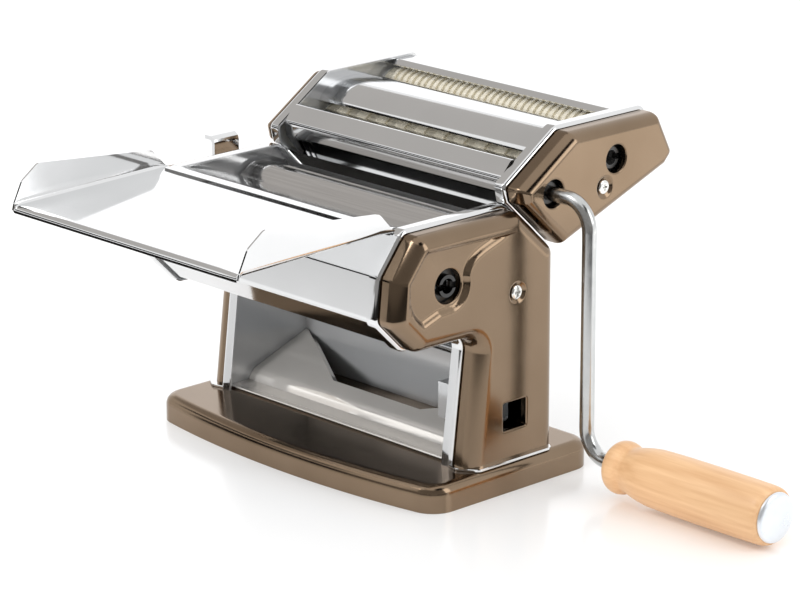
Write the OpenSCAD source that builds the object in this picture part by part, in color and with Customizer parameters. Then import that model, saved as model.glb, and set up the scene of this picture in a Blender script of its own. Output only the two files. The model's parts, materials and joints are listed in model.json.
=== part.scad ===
// Hand-cranked pasta machine: smooth rollers with an adjustable gap, and a slide-on cutter unit.
// X runs along the rollers with the crank side positive, the feed tray points to -Y, and Z is up.
// The origin is the middle of the base underside, and all sizes are in millimetres.

/* [Side frames] */
// Width across the outer faces of the two side frames
frame_w = 154; // [146:1:170]
// Thickness of the frame and body sheets
sheet_t = 1.2; // [1:0.1:1.4]
// Depth of the flange turned in round each frame
flange_w = 6; // [5:0.5:7]
// Height of the top edge of the frames above the table
head_top = 126; // [124:1:134]
// Height of the underside of the head
head_under = 71.7; // [66:0.5:73]
// Reach of the head in front of the middle of the base
head_front = 65.2; // [63:0.5:70]
// Size of the bevel under the chin of the head
chin = 15.5; // [10:0.5:18]
// Size of the bevel over the brow of the head
brow = 17.5; // [14:0.5:19]
// Reach of the foot in front of the middle of the base
foot_front = 20.5; // [18:0.5:24]
// Reach of the column behind the middle of the base
column_rear = 35; // [34:0.5:38]
// Lean of the front edge of the column, in degrees from upright
column_lean = 7; // [4:0.5:9]
// Where the rear slope starts, behind the middle of the base
slope_start = 12.6; // [11:0.2:14]
// Fall of the rear slope, in degrees
slope_angle = 42.8; // [40:0.2:45]
// Corner radius of the frame outline
frame_r = 4; // [2:0.5:5]

/* [Base] */
// Reach of the base pan past each side frame
base_side = 16.2; // [14.6:0.2:23]
// Bare rim of the base pan outside each foot of the frames
foot_margin = 2.2; // [1.5:0.1:4]
// Depth of the base pan along its middle
base_d = 109; // [104:1:120]
// How far the base reaches behind the origin
base_rear = 55; // [50:1:60]
// Bow of the front edge
base_bow = 9; // [4:0.5:14]
// Height of the base pan
base_h = 12.5; // [11:0.5:16]
// Corner radius of the base pan
base_r = 12; // [8:1:16]
// Radius of the rounded top edge of the base pan
base_edge_r = 5; // [3:0.5:6]

/* [Covers] */
// Depth of the covers on the crank side
cover_depth = 12; // [11.5:0.5:15]
// Depth of the body cover on the knob side
left_depth = 9.6; // [9.4:0.2:12]
// Depth of the cutter cover on the knob side
cutter_left_depth = 6; // [5.8:0.2:8]
// Wall of the side covers
cover_t = 1.2; // [0.8:0.1:1.4]
// Step from the frame edge in to the cover
cover_step = 1.5; // [1:0.1:1.6]
// Run of the rounded edge over the face
cover_bevel = 7.2; // [5:0.2:8]
// Run of the rounded edge over the face of the cutter covers
cutter_bevel = 4.6; // [4:0.2:4.8]
// Depth of the sunk field round the crank hole
field_sink = 2; // [1.6:0.1:2]
// Diameter of the crank hole in the body cover
crank_hole_d = 15.5; // [14:0.5:18]
// Diameter of the crank holes in the cutter cover
cutter_hole_d = 12.8; // [12:0.2:14]
// Width of the square clamp hole
clamp_w = 15.6; // [12:0.2:18]
// Height of the square clamp hole
clamp_h = 14.2; // [10:0.2:16]
// Length of the clamp socket behind the hole
clamp_l = 26; // [18:1:40]

/* [Smooth rollers] */
// Diameter of the smooth rollers
roller_d = 32; // [31:0.2:32.4]
// Drop of the driven roller axis below the top edge
roller_drop = 26; // [25.5:0.5:28]
// Place of the driven roller axis in front of the origin
roller_front = 31.5; // [30:0.5:34]
// Rise of the line from the driven to the adjustable roller, in degrees
roller_tilt = 6; // [2:0.5:6.5]
// Gap between the rollers at the widest setting
gap_wide = 2.1; // [1.6:0.1:2.2]
// Gap between the rollers at the thinnest setting
gap_thin = 0.3; // [0.2:0.1:0.6]
// Turn of the gap knob between its end settings, in degrees
knob_turn = 150; // [120:5:150]
// Diameter of the driven roller journals
journal_d = 10; // [9.5:0.5:11]
// Diameter of the middle of the eccentric shaft
shaft_d = 12; // [11.5:0.5:13]
// Diameter of the ends of the eccentric shaft
shaft_end_d = 9; // [8:0.5:9]
// Outer diameter of the neck of the adjustable roller
neck_d = 24; // [23.5:0.5:25]
// Outer diameter of the liners in the adjustable roller
liner_d = 19.9; // [18:0.1:20.4]
// Length of each liner
liner_l = 14; // [8:1:20]
// Number of teeth of the roller gears
gear_teeth = 14; // [14:1:14]
// Face width of all gears
gear_w = 5; // [4:0.5:5]

/* [Gap knob] */
// Length of the knob strip
knob_l = 48.6; // [44:0.2:60]
// Width of the knob strip
knob_w = 15; // [12:0.5:18]
// Reach of the finger tabs
knob_tab = 7; // [4:0.5:10]
// Sheet thickness of the knob
knob_t = 2; // [1.5:0.1:2.5]
// Diameter of the dial under the knob
dial_d = 24; // [20:1:24]
// Distance of the knob strip from the click washer
knob_stand = 4; // [1:0.5:8]

/* [Feed tray] */
// Reach of the tray floor in front of the origin
tray_front = 140; // [130:1:160]
// Set-back of each side of the tray from the outer face of the frame
tray_play = 1.5; // [1:0.1:3]
// Height of the side flange at its front peak
tray_side = 17; // [12:0.5:22]
// Sheet thickness of the tray
tray_t = 1; // [0.8:0.1:1.2]
// Clearance of the tray tongue to each frame flange
tray_gap = 1.5; // [1:0.1:3]

/* [Cutter unit] */
// Diameter of the cutter rollers
cutter_d = 19.4; // [19:0.1:19.4]
// Distance between the axes of a cutter pair
cutter_pitch = 18.9; // [18.7:0.1:18.9]
// Depth of the cutter grooves
groove_depth = 1.2; // [1:0.1:1.5]
// Width of a wide noodle
wide_cut = 6.5; // [5.5:0.1:8]
// Width of a narrow noodle
narrow_cut = 2; // [2:0.1:3]
// Diameter of the cutter journals
cutter_journal_d = 10; // [9.5:0.5:10]
// Clearance of the cutter unit above the rear slope
rail_gap = 0.3; // [0.2:0.1:0.6]
// Height of the cutter unit above the top edge of the frames
cutter_rise = 29.6; // [29.2:0.2:32]
// Length of the flat top of the cutter unit
cutter_top = 57; // [56:0.5:60]

/* [Crank] */
// Diameter of the crank rod
rod_d = 6.6; // [6:0.1:7]
// Distance from the crank axis to the grip axis
crank_arm = 115.2; // [100:0.2:115.2]
// Distance of the arm from the outer face of the frame
crank_out = 33.4; // [30:0.2:40]
// Bend radius of the rod
crank_bend = 13; // [10:0.5:16]
// Length of the wooden grip
grip_l = 91; // [80:1:110]
// Largest diameter of the wooden grip
grip_d = 26.8; // [22:0.2:27]
// Length of the bare rod between the arm and the grip
grip_start = 18; // [17:0.5:24]

/* [Fits] */
// Radial clearance of running fits
run_fit = 0.05; // [0.03:0.01:0.1]
// Radial clearance of seated fits within one piece group
seat_fit = 0.02; // [0.01:0.01:0.05]
// Clearance between seated sheets
lay_gap = 0.05; // [0.03:0.01:0.1]
// Radial clearance of the crank rod in its sockets
rod_fit = 0.1; // [0.05:0.01:0.2]

/* [Hidden] */
$fn = 48;
eps = 0.01;

// Colours
chrome = [0.80, 0.81, 0.82];
bronze = [0.36, 0.30, 0.24];
steel = [0.62, 0.63, 0.64];
nylon = [0.90, 0.89, 0.85];
wood = [0.83, 0.62, 0.40];

// Planes across the machine
half = frame_w / 2;
base_w = frame_w + 2 * base_side;
foot_w = base_side - foot_margin;
tray_w = frame_w - 2 * tray_play;
inner = half - sheet_t;
flange_in = half - flange_w;
face = half + cover_depth;
left_face = half + left_depth;
roll_end = inner - 2.3;
gear_x = half + 0.8;

// Side frame outline in the YZ plane, clockwise from the front of the foot
slope_dir = [cos(slope_angle), -sin(slope_angle)];
slope_up = [sin(slope_angle), cos(slope_angle)];
foot_a = [-foot_front, base_h];
neck = [-foot_front + (head_under - base_h) * tan(column_lean), head_under];
chin_low = [-head_front + chin, head_under];
chin_high = [-head_front, head_under + chin];
brow_low = [-head_front + 2.2, head_top - brow];
brow_high = [-head_front + 16.2, head_top];
slope_a = [slope_start, head_top];
slope_b = [column_rear, head_top - (column_rear - slope_start) * tan(slope_angle)];
foot_b = [column_rear, base_h];
frame_pts = [foot_a, neck, chin_low, chin_high, brow_low, brow_high, slope_a, slope_b, foot_b];
frame_radii = [0, 6, frame_r, frame_r, frame_r, frame_r, frame_r, frame_r, 0];

// Roller axes as [y, z]; the eccentric shaft turns about gap_axis and carries the roller at adjust_axis
drive_axis = [-roller_front, head_top - roller_drop];
gap_lead = (180 - knob_turn) / 2;
throw = (gap_wide - gap_thin) / (2 * cos(gap_lead));
gap_axis = drive_axis + (roller_d + gap_wide - throw * cos(gap_lead)) * polar(roller_tilt);
adjust_axis = gap_axis + throw * polar(roller_tilt + gap_lead);
gear_swing = throw * (1 + sin(gap_lead)) / 2 / (roller_d + (gap_wide + gap_thin) / 2);
gear_mesh = roller_tilt + 2 * gear_swing * 180 / PI;

// Roller gear tooth sizes, with the backlash that the moving axis needs
gear_add = 1.55;
gear_ded = 1.6;
gear_thin = 0.38;
cutter_add = 1.15;
cutter_ded = 1.5;
cutter_thin = 0.12;

// Parts inside the covers
bridge_x = gear_x + gear_w + 1.4;
bridge_t = 1.5;
post_d = 5;
post_a = gap_axis + [20.5, -7.5];
post_b = gap_axis + [0.5, -22.3];
screw_at = gap_axis + [7.3, -14.2];
clamp_at = [-0.2, base_h + 13.8];
neck_end = gear_x + gear_w + 0.6;
gap_hole_d = neck_d + 4 * throw + 1;
tie_d = 7;
tie_screw_d = 4;
tie_a = [-head_front + 15.2, head_under + 12.3];
tie_b = [column_rear - 9, head_under + 16.3];
tie_c = [column_rear - 9, head_under - 24];
screw_d = 3.5;
screw_head_d = 6.4;
screw_head_h = 1.6;
bush_d = journal_d + 4;
gap_bush_d = shaft_end_d + 6;
socket_d = rod_d + 2 * rod_fit;
socket_depth = 16;
socket_end = half + 9.5;
pin_d = 2.4;
pin_l = 9;
dial_t = 4;
washer_t = 0.8;
hub_x = -left_face - dial_t - washer_t - 0.3;
knob_x = hub_x - knob_stand;
hub_d = 15;

// Cutter unit, placed from the top of the rear slope
cut_a = slope_a + rail_gap * slope_up + 0.5 * slope_dir;
cut_b = slope_a + [-1.3, 8.2];
cut_c = slope_a + [31, cutter_rise];
cut_d = cut_c + [cutter_top, 0];
cut_e = cut_d + [11, -21.3];
cut_f = cut_d + [4.5, -28.2];
cut_g = slope_a + rail_gap * slope_up + 35 * slope_dir;
cut_pts = [cut_a, cut_b, cut_c, cut_d, cut_e, cut_f, cut_g];
cut_radii = [2, 3, 6, frame_r, frame_r, frame_r, 2];
wide_axis = slope_a + [18.4, 3.5];
wide_tilt = 2;
wide_axis_2 = wide_axis + cutter_pitch * polar(wide_tilt);
narrow_axis = slope_a + [57.9, 12.3];
narrow_tilt = 8;
narrow_axis_2 = narrow_axis + cutter_pitch * polar(narrow_tilt);
cut_tie_d = 6;
cut_tie_a = slope_a + [43.4, -9.5];
cut_tie_b = slope_a + [86.9, 5.8];
cut_screw_at = slope_a + [50.6, 0.6];
stud_d = 5;
cut_bush_d = cutter_journal_d + 3;
groove_r = cutter_d / 2 - groove_depth;
blade_fit = 0.1;
comb_t = 1.2;
comb_h = 5.7;

// Tray outline points
tray_back = [brow_high.x - 3, head_top + 0.4];
tray_tip = [-tray_front, head_top - 1.8];
tongue_tip = [drive_axis.x + 11, head_top - 8.4];

// Crank axis and grip
arm_x = half + crank_out;
grip_z = wide_axis.y - crank_arm;
grip_x = arm_x + grip_start;
grip_bore = rod_d + 2 * rod_fit;
cap_d = 22.4;
cap_h = 3;

// Plane helpers: paths and outlines are lists of [y, z], outlines clockwise
function polar(a) = [cos(a), sin(a)];
function unit(v) = v / norm(v);
function reverse(l) = [for (i = [len(l) - 1:-1:0]) l[i]];
function right(a, b) = let (e = unit(b - a)) [e.y, -e.x];
function fillet(a, p, b, r, n = 5) = r == 0 ? [p] :
    let (u = unit(a - p), v = unit(b - p), h = acos(u * v) / 2,
        c = p + unit(u + v) * r / sin(h), s = p + u * r / tan(h), e = p + v * r / tan(h))
    [for (i = [0:n]) c + r * unit((s - c) * (1 - i / n) + (e - c) * i / n)];
function rounded(pts, r) = let (n = len(pts))
    [for (i = [0:n - 1])
        each fillet(pts[(i + n - 1) % n], pts[i], pts[(i + 1) % n], is_list(r) ? r[i] : r)];
function bent(path, r) = let (n = len(path))
    [for (i = [0:n - 1])
        each i == 0 || i == n - 1 ? [path[i]] : fillet(path[i - 1], path[i], path[i + 1], r)];
function mitre(a, b) = (a + b) / (1 + a * b);
function inset(pts, d) = let (n = len(pts))
    [for (i = [0:n - 1])
        pts[i] + d * mitre(right(pts[(i + n - 1) % n], pts[i]), right(pts[i], pts[(i + 1) % n]))];
function shifted(path, d) = let (n = len(path))
    [for (i = [0:n - 1])
        let (a = right(path[max(i - 1, 0)], path[max(i, 1)]),
            b = right(path[min(i, n - 2)], path[min(i + 1, n - 1)]))
        path[i] + d * mitre(a, b)];
function arc(c, r, a0, a1, n = 8) = [for (i = [0:n]) c + r * polar(a0 + (a1 - a0) * i / n)];
function curve(p, n = 8) = [for (i = [0:n]) let (t = i / n, s = 1 - t)
    s * s * s * p[0] + 3 * s * s * t * p[1] + 3 * s * t * t * p[2] + t * t * t * p[3]];
function bounded(radii, cut) = [for (r = radii) r == 0 ? 0 : max(r - cut, 0.4)];
function slid(p, q, z) = p + (q - p) * (z - p.y) / (q.y - p.y);

// Solid helpers along X
module along_x(x0, x1) {
    translate([x0, 0, 0]) rotate([90, 0, 90]) linear_extrude(x1 - x0) children();
}
module bar_x(d, x0, x1, p) {
    translate([x0, p.x, p.y]) rotate([0, 90, 0]) cylinder(d = d, h = x1 - x0);
}
module sheet(path, t, w) {
    along_x(-w / 2, w / 2) polygon(concat(path, reverse(shifted(path, t))));
}
// Solid through outlines of equal length, each row [height, outline]
module loft(rows) {
    n = len(rows[0][1]);
    m = len(rows);
    points = [for (row = rows) for (p = row[1]) [p.x, p.y, row[0]]];
    sides = [for (k = [0:m - 2]) for (i = [0:n - 1]) let (a = k * n + i, b = k * n + (i + 1) % n)
        each [[a, b, b + n], [a, b + n, a + n]]];
    polyhedron(points, concat([[for (i = [n - 1:-1:0]) i]], sides, [[for (i = [0:n - 1]) (m - 1) * n + i]]));
}
module both_sides() {
    children();
    mirror([1, 0, 0]) children();
}

// Involute gear along X
function involute(a) = tan(a) * 180 / PI - a;
function tooth(teeth, rp, add, ded, thin) =
    let (rb = rp * cos(20), base = 90 / teeth - thin / rp * 180 / PI + involute(20),
        radii = concat([rp - ded], [for (i = [0:3]) rb + (rp + add - rb) * i / 3]))
    [for (r = radii) [r, base - (r > rb ? involute(acos(rb / r)) : 0)]];
module gear(teeth, rp, add, ded, thin, bore, phase, p, x0) {
    flank = tooth(teeth, rp, add, ded, thin);
    outline = [for (k = [0:teeth - 1]) let (mid = phase + k * 360 / teeth)
        each concat([for (f = flank) f[0] * polar(mid - f[1])],
            [for (f = reverse(flank)) f[0] * polar(mid + f[1])])];
    along_x(x0, x0 + gear_w) translate(p) difference() {
        polygon(outline);
        circle(d = bore);
    }
}

// Screws along X, with the head on the positive side
module pan_screw(d, head_d, head_h, l, x, p) {
    difference() {
        union() {
            bar_x(d, x - l, x + eps, p);
            bar_x(head_d, x, x + head_h, p);
        }
        cross_slots(head_d * 0.55, 1, x + head_h - 0.9, p);
    }
}
module cross_slots(l, w, x, p) {
    for (a = [0, 90])
        translate([x, p.x, p.y]) rotate([a, 0, 0]) translate([0, -l / 2, -w / 2]) cube([3, l, w]);
}

// Base
base_front = base_d - base_rear;
bow_r = (base_w * base_w / 4 + base_bow * base_bow) / (2 * base_bow);
bow_a = asin(base_w / 2 / bow_r);
bow_pts = arc([0, bow_r - base_front], bow_r, 270 + bow_a, 270 - bow_a, 12);
base_pts = concat([[-base_w / 2, base_rear], [base_w / 2, base_rear]], bow_pts);
base_radii = [base_r, base_r, base_r, for (i = [1:11]) 0, base_r];
function pan_row(z, cut) = [z, rounded(inset(base_pts, cut), bounded(base_radii, cut))];
module pan_form(cut) {
    loft(concat([pan_row(-sign(cut), cut)], [for (a = [0:22.5:90])
        pan_row(base_h - cut - base_edge_r * (1 - sin(a)), cut + base_edge_r * (1 - cos(a)))]));
}
foot_nut_d = 7;
foot_screw_at = [for (y = [-foot_front + 12.5, column_rear - 11]) [half + foot_nut_d / 2 + 1, y]];
module at_foot_screws() {
    both_sides() for (p = foot_screw_at) translate([p.x, p.y, base_h]) children();
}
module base_pan() {
    color(bronze) difference() {
        pan_form(0);
        pan_form(sheet_t);
        at_foot_screws() cylinder(d = tie_screw_d + 0.3, h = 8, center = true);
    }
}
module base_plate() {
    color(steel) linear_extrude(sheet_t)
        polygon(rounded(inset(base_pts, sheet_t + lay_gap), bounded(base_radii, sheet_t + lay_gap)));
}
module foot_screws() {
    color(steel) at_foot_screws() {
        translate([0, 0, -sheet_t - 2.2]) cylinder(d = foot_nut_d, h = 2.2);
        translate([0, 0, -sheet_t - eps]) cylinder(d = tie_screw_d, h = 2 * sheet_t + 2.6);
    }
}
module foot_nuts() {
    color(steel) at_foot_screws() translate([0, 0, sheet_t]) difference() {
        cylinder(d = foot_nut_d, h = 2.4, $fn = 6);
        translate([0, 0, -1]) cylinder(d = tie_screw_d + 2 * seat_fit, h = 5);
    }
}

// Side frames
module flanged_plate(pts, radii, open_foot) {
    along_x(inner, half) polygon(rounded(pts, radii));
    along_x(flange_in, inner + eps) difference() {
        polygon(rounded(pts, radii));
        polygon(rounded(inset(pts, sheet_t), bounded(radii, sheet_t)));
        if (open_foot)
            translate([-foot_front + 2 * sheet_t, base_h - 1])
                square([foot_front + column_rear - 3 * sheet_t, sheet_t + 2]);
    }
}
module foot() {
    out = half + foot_w;
    pts = [[inner, -foot_front], [half + 5, -foot_front - 1.5], [out, -foot_front + 4.5],
        [out, column_rear - 5], [inner, column_rear]];
    translate([0, 0, base_h]) linear_extrude(sheet_t) polygon(pts);
}
module body_frame() {
    difference() {
        union() {
            flanged_plate(frame_pts, frame_radii, true);
            foot();
        }
        bar_x(bush_d, inner - 1, half + 1, drive_axis);
        for (p = [tie_a, tie_b, tie_c]) bar_x(tie_screw_d + 0.3, inner - 1, half + 1, p);
        for (p = foot_screw_at) translate([p.x, p.y, base_h - 1]) cylinder(d = tie_screw_d + 0.3, h = 5);
    }
}
module clamp_cut(x0, x1) {
    translate([x0, clamp_at.x, clamp_at.y]) cube([x1 - x0, clamp_w, clamp_h]);
}
module right_frame() {
    color(chrome) difference() {
        body_frame();
        bar_x(gap_hole_d, inner - 1, half + 1, gap_axis);
        clamp_cut(inner - 1, half + 1);
    }
}
module left_frame() {
    color(chrome) difference() {
        mirror([1, 0, 0]) body_frame();
        bar_x(gap_bush_d, -half - 1, -inner + 1, gap_axis);
    }
}

// Pressed covers: an outline drawn in towards the face on a rounded edge
cover_foot = base_h + sheet_t + lay_gap;
function body_outline(cut, z) = let (q = inset(frame_pts, cut),
        r = [0, 6 + cut, for (i = [2:7]) max(frame_r - cut, 1.2), 0])
    rounded([slid(q[0], q[1], z), for (i = [1:7]) q[i], slid(q[8], q[7], z)], r);
function cutter_outline(cut) = rounded(inset(cut_pts, cut), 1);
function press_steps(depth, rise, run, wall) = concat([[-1 - sign(wall), 0]], [for (a = [0:22.5:90])
    [depth - wall - rise * (1 - sin(a)), run * (1 - cos(a))]]);
module on_frame() {
    translate([half, 0, 0]) rotate([90, 0, 90]) children();
}
module below_mouth() {
    translate([half - 20, -200, -200]) cube([20, 400, 400]);
}
module above_face(depth) {
    translate([half + depth, -200, -200]) cube([20, 400, 400]);
}
module body_rim(depth) {
    rise = cover_bevel;
    run = cover_bevel;
    difference() {
        on_frame() loft([for (k = concat(press_steps(depth, rise, run, 0), [[depth + 1, run]]))
            [k[0], body_outline(cover_step + k[1], cover_foot - 1)]]);
        on_frame() loft([for (k = concat(press_steps(depth, rise, run, cover_t), [[depth + 2, run]]))
            [k[0], body_outline(cover_step + cover_t + k[1], cover_foot - 2)]]);
        below_mouth();
        above_face(depth);
        translate([half - 20, -200, cover_foot - 60]) cube([60, 400, 60]);
    }
}
module cutter_rim(depth) {
    rise = min(cover_bevel, depth - cover_t);
    run = cutter_bevel;
    difference() {
        on_frame() loft([for (k = concat(press_steps(depth, rise, run, 0), [[depth + 1, run]]))
            [k[0], cutter_outline(cover_step + k[1])]]);
        on_frame() loft([for (k = concat(press_steps(depth, rise, run, cover_t), [[depth + 2, run]]))
            [k[0], cutter_outline(cover_step + cover_t + k[1])]]);
        below_mouth();
        above_face(depth);
    }
}
module cover_face(depth) {
    along_x(half + depth - cover_t + lay_gap, half + depth - lay_gap) children();
}
plate_cut = cover_step + cover_bevel + cover_t / 2;
cutter_cut = cover_step + cutter_bevel + cover_t / 2;
field_r = 16;
field_pts = concat(arc(drive_axis + [-6, 1], field_r, 236, 98, 14),
    [for (p = curve([[33, 17], [30, 12], [11.5, 14], [9.8, 3]], 10)) drive_axis + p],
    arc(drive_axis, 10.2, 10, -80, 8), [drive_axis + [-6.5, -10.7]]);
module right_cover() {
    color(bronze) {
        body_rim(cover_depth);
        cover_face(cover_depth) difference() {
            polygon(body_outline(plate_cut, cover_foot + lay_gap));
            polygon(inset(field_pts, -cover_t / 2));
            translate(screw_at) circle(d = screw_d + 0.3);
            translate(clamp_at) square([clamp_w, clamp_h]);
        }
        along_x(face - field_sink - cover_t, face - 2 * lay_gap) difference() {
            polygon(inset(field_pts, -cover_t));
            polygon(field_pts);
        }
        along_x(face - field_sink - cover_t + lay_gap, face - field_sink) difference() {
            polygon(inset(field_pts, -cover_t / 2));
            translate(drive_axis) circle(d = crank_hole_d);
        }
    }
}
module left_cover() {
    color(bronze) mirror([1, 0, 0]) {
        body_rim(left_depth);
        cover_face(left_depth) difference() {
            polygon(body_outline(plate_cut, cover_foot + lay_gap));
            translate(gap_axis) circle(d = shaft_end_d + 1);
            translate(screw_at) circle(d = screw_d + 0.3);
        }
    }
}
module cover_stud() {
    color(steel) difference() {
        bar_x(stud_d + 1, -left_face + cover_t + lay_gap, -half, screw_at);
        bar_x(screw_d + 2 * seat_fit, -left_face, -half - 1.5, screw_at);
    }
}
module cover_screws() {
    color(chrome) {
        pan_screw(screw_d, screw_head_d, screw_head_h, 6, face + lay_gap, screw_at);
        mirror([1, 0, 0])
            pan_screw(screw_d, screw_head_d, screw_head_h, 6, left_face + lay_gap, screw_at);
    }
}

// Body sheets between the frames
skin = inset(frame_pts, sheet_t + lay_gap);
module front_fairing() {
    low = skin[2] + (skin[3] - skin[2]) * 0.15;
    top = skin[4] + (skin[5] - skin[4]) * 0.955;
    color(chrome) sheet(bent([low, skin[3], skin[4], top], frame_r), sheet_t, 2 * inner - lay_gap);
}
module rear_panel() {
    lip = adjust_axis + (roller_d / 2 + throw + 1.2) * polar(60);
    foot_end = [skin[8].x, base_h + sheet_t + lay_gap];
    path = concat([lip], bent([skin[6] + 1.5 * slope_dir, skin[7], foot_end], frame_r));
    color(chrome) sheet(path, sheet_t, 2 * inner - lay_gap);
}
chute_slope = 20.4;
chute_a = [-8.5, base_h + 3];
chute_rear = column_rear - 2 * sheet_t - 2 * lay_gap - 0.4;
chute_run = (chute_rear - chute_a.x) / cos(chute_slope);
chute_notch = 16.7;
chute_flat = 58;
module chute() {
    w = inner - 2 * lay_gap;
    apron = flange_in - 0.3;
    pts = [[-w, 0], [-w, chute_run], [-w + 2, chute_run], [-chute_flat / 2, chute_notch],
        [chute_flat / 2, chute_notch], [w - 2, chute_run], [w, chute_run], [w, 0]];
    color(chrome) {
        translate([0, chute_a.x, chute_a.y]) rotate([chute_slope, 0, 0])
            translate([0, 0, -1]) linear_extrude(1) polygon(pts);
        along_x(-apron, apron) polygon([[-foot_front, base_h + 0.3], chute_a + [0.3, 0],
            chute_a + [0.6, -0.9], chute_a + [0, -1.2], [-foot_front + 1, base_h]]);
    }
}
module clamp_socket() {
    wall = sheet_t;
    color(steel) difference() {
        translate([half - sheet_t - clamp_l, clamp_at.x - wall, clamp_at.y - wall])
            cube([clamp_l, clamp_w + 2 * wall, clamp_h + 2 * wall]);
        clamp_cut(half - clamp_l - 5, half);
    }
}
module tie_rod(d, p) {
    color(steel) difference() {
        bar_x(d, -inner, inner, p);
        for (s = [-1, 1])
            translate([s * inner, p.x, p.y]) rotate([0, 90, 0])
                cylinder(d = tie_screw_d + 2 * seat_fit, h = 24, center = true);
    }
}
module front_tie_rod() { tie_rod(tie_d, tie_a); }
module rear_tie_rod() { tie_rod(tie_d, tie_b); }
module lower_tie_rod() { tie_rod(tie_d, tie_c); }
module tie_rod_screws() {
    color(steel) both_sides() for (p = [tie_a, tie_b, tie_c])
        pan_screw(tie_screw_d, 7.4, 2.4, 10, half, p);
}
module scraper(axis, gap, a, b) {
    tip = axis + (roller_d / 2 + gap) * polar(a);
    back = tip + 8.8 * polar(b);
    along_x(-inner + lay_gap, inner - lay_gap) {
        polygon([tip, tip + 0.9 * polar(b - 60), back + 0.9 * polar(b - 90), back + 0.9 * polar(b + 90)]);
        translate(back) circle(d = 5);
    }
}
module front_scraper() { color(steel) scraper(drive_axis, 0.4, -66, -100); }
module rear_scraper() { color(steel) scraper(adjust_axis, 2 * throw + 0.5, 246, -80); }

// Smooth rollers
module socket_cut(x, p) {
    bar_x(socket_d, x - socket_depth, x + 1, p);
    translate([x - 4, p.x, p.y]) translate([0, -journal_d, -pin_d / 2 - 0.2])
        cube([6, 2 * journal_d, pin_d + 0.4]);
}
module roller_bushes() {
    color(nylon) both_sides() difference() {
        union() {
            bar_x(bush_d - 2 * seat_fit, inner - eps, half + 0.4, drive_axis);
            bar_x(bush_d + 3, inner - 1.2, inner, drive_axis);
        }
        bar_x(journal_d + 2 * run_fit, inner - 5, half + 5, drive_axis);
    }
}
module drive_roller() {
    color(chrome) difference() {
        union() {
            bar_x(roller_d, -roll_end, roll_end, drive_axis);
            bar_x(journal_d, -half - 1.5, socket_end, drive_axis);
        }
        socket_cut(socket_end, drive_axis);
    }
}
module drive_gear() {
    color(steel) gear(gear_teeth, roller_d / 2, gear_add, gear_ded, gear_thin,
        journal_d + 2 * seat_fit, roller_tilt, drive_axis, gear_x);
}
module bearing_bridge() {
    pts = [gap_axis + [-7, 2], gap_axis + [-3, 7], gap_axis + [5, 7], post_a + [3, 4.5], post_a + [4, -2],
        screw_at + [5, -6], post_b + [4, -3.5], post_b + [-3.5, -3.5]];
    color(steel) difference() {
        union() {
            along_x(bridge_x, bridge_x + bridge_t) polygon(pts);
            for (p = [post_a, post_b]) bar_x(post_d, half, bridge_x + eps, p);
        }
        bar_x(shaft_end_d + 2 * run_fit, bridge_x - 1, bridge_x + 4, gap_axis);
        bar_x(screw_d + 2 * seat_fit, bridge_x - 1, bridge_x + 4, screw_at);
    }
}
module gap_bush() {
    color(nylon) difference() {
        union() {
            bar_x(gap_bush_d - 2 * seat_fit, -half - 0.4, -inner + eps, gap_axis);
            bar_x(gap_bush_d + 3, -inner, -inner + 1.2, gap_axis);
        }
        bar_x(shaft_end_d + 2 * run_fit, -half - 5, -inner + 5, gap_axis);
    }
}
module eccentric_shaft() {
    color(steel) {
        bar_x(shaft_d, -roll_end - 0.5, neck_end + 0.5, adjust_axis);
        bar_x(shaft_end_d, neck_end, bridge_x + bridge_t + 0.3, gap_axis);
        bar_x(shaft_end_d, knob_x - knob_t - 4, -roll_end, gap_axis);
    }
}
module roller_liners() {
    color(nylon) for (x = [-roll_end, neck_end - liner_l]) difference() {
        bar_x(liner_d, x, x + liner_l, adjust_axis);
        bar_x(shaft_d + 2 * run_fit, x - 1, x + liner_l + 1, adjust_axis);
    }
}
module adjust_roller() {
    color(chrome) difference() {
        union() {
            bar_x(roller_d, -roll_end, roll_end, adjust_axis);
            bar_x(neck_d, 0, neck_end, adjust_axis);
        }
        bar_x(liner_d + 2 * run_fit, -half, half + 20, adjust_axis);
    }
}
module adjust_gear() {
    color(steel) gear(gear_teeth, roller_d / 2, gear_add, gear_ded, gear_thin,
        neck_d + 2 * seat_fit, gear_mesh + 180 + 180 / gear_teeth, adjust_axis, gear_x);
}

// Gap knob
module gap_dial() {
    color(chrome) difference() {
        bar_x(dial_d, -left_face - dial_t, -left_face, gap_axis);
        bar_x(shaft_end_d + 1, -left_face - dial_t - 1, -left_face + 1, gap_axis);
    }
}
module click_washer() {
    x = -left_face - dial_t - washer_t;
    color(steel) difference() {
        bar_x(dial_d - 4, x, x + washer_t, gap_axis);
        bar_x(shaft_end_d + 1, x - 1, x + washer_t + 1, gap_axis);
    }
}
module gap_knob() {
    path = bent([[knob_x - knob_tab, gap_axis.y - knob_l / 2], [knob_x, gap_axis.y - knob_l / 2],
        [knob_x, gap_axis.y + knob_l / 2], [knob_x - knob_tab, gap_axis.y + knob_l / 2]], 3.5);
    color(chrome) difference() {
        union() {
            translate([0, gap_axis.x + knob_w / 2, 0]) rotate([90, 0, 0]) linear_extrude(knob_w)
                polygon(concat(path, reverse(shifted(path, -knob_t))));
            bar_x(hub_d, knob_x - knob_t - 4, hub_x, gap_axis);
        }
        bar_x(shaft_end_d + 2 * seat_fit, knob_x - knob_t - 6, hub_x + 2, gap_axis);
    }
}
module knob_screw() {
    mirror([1, 0, 0])
        color(steel) pan_screw(3, 11, 1.8, 0, -knob_x + knob_t + 4 + lay_gap, gap_axis);
}

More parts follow.
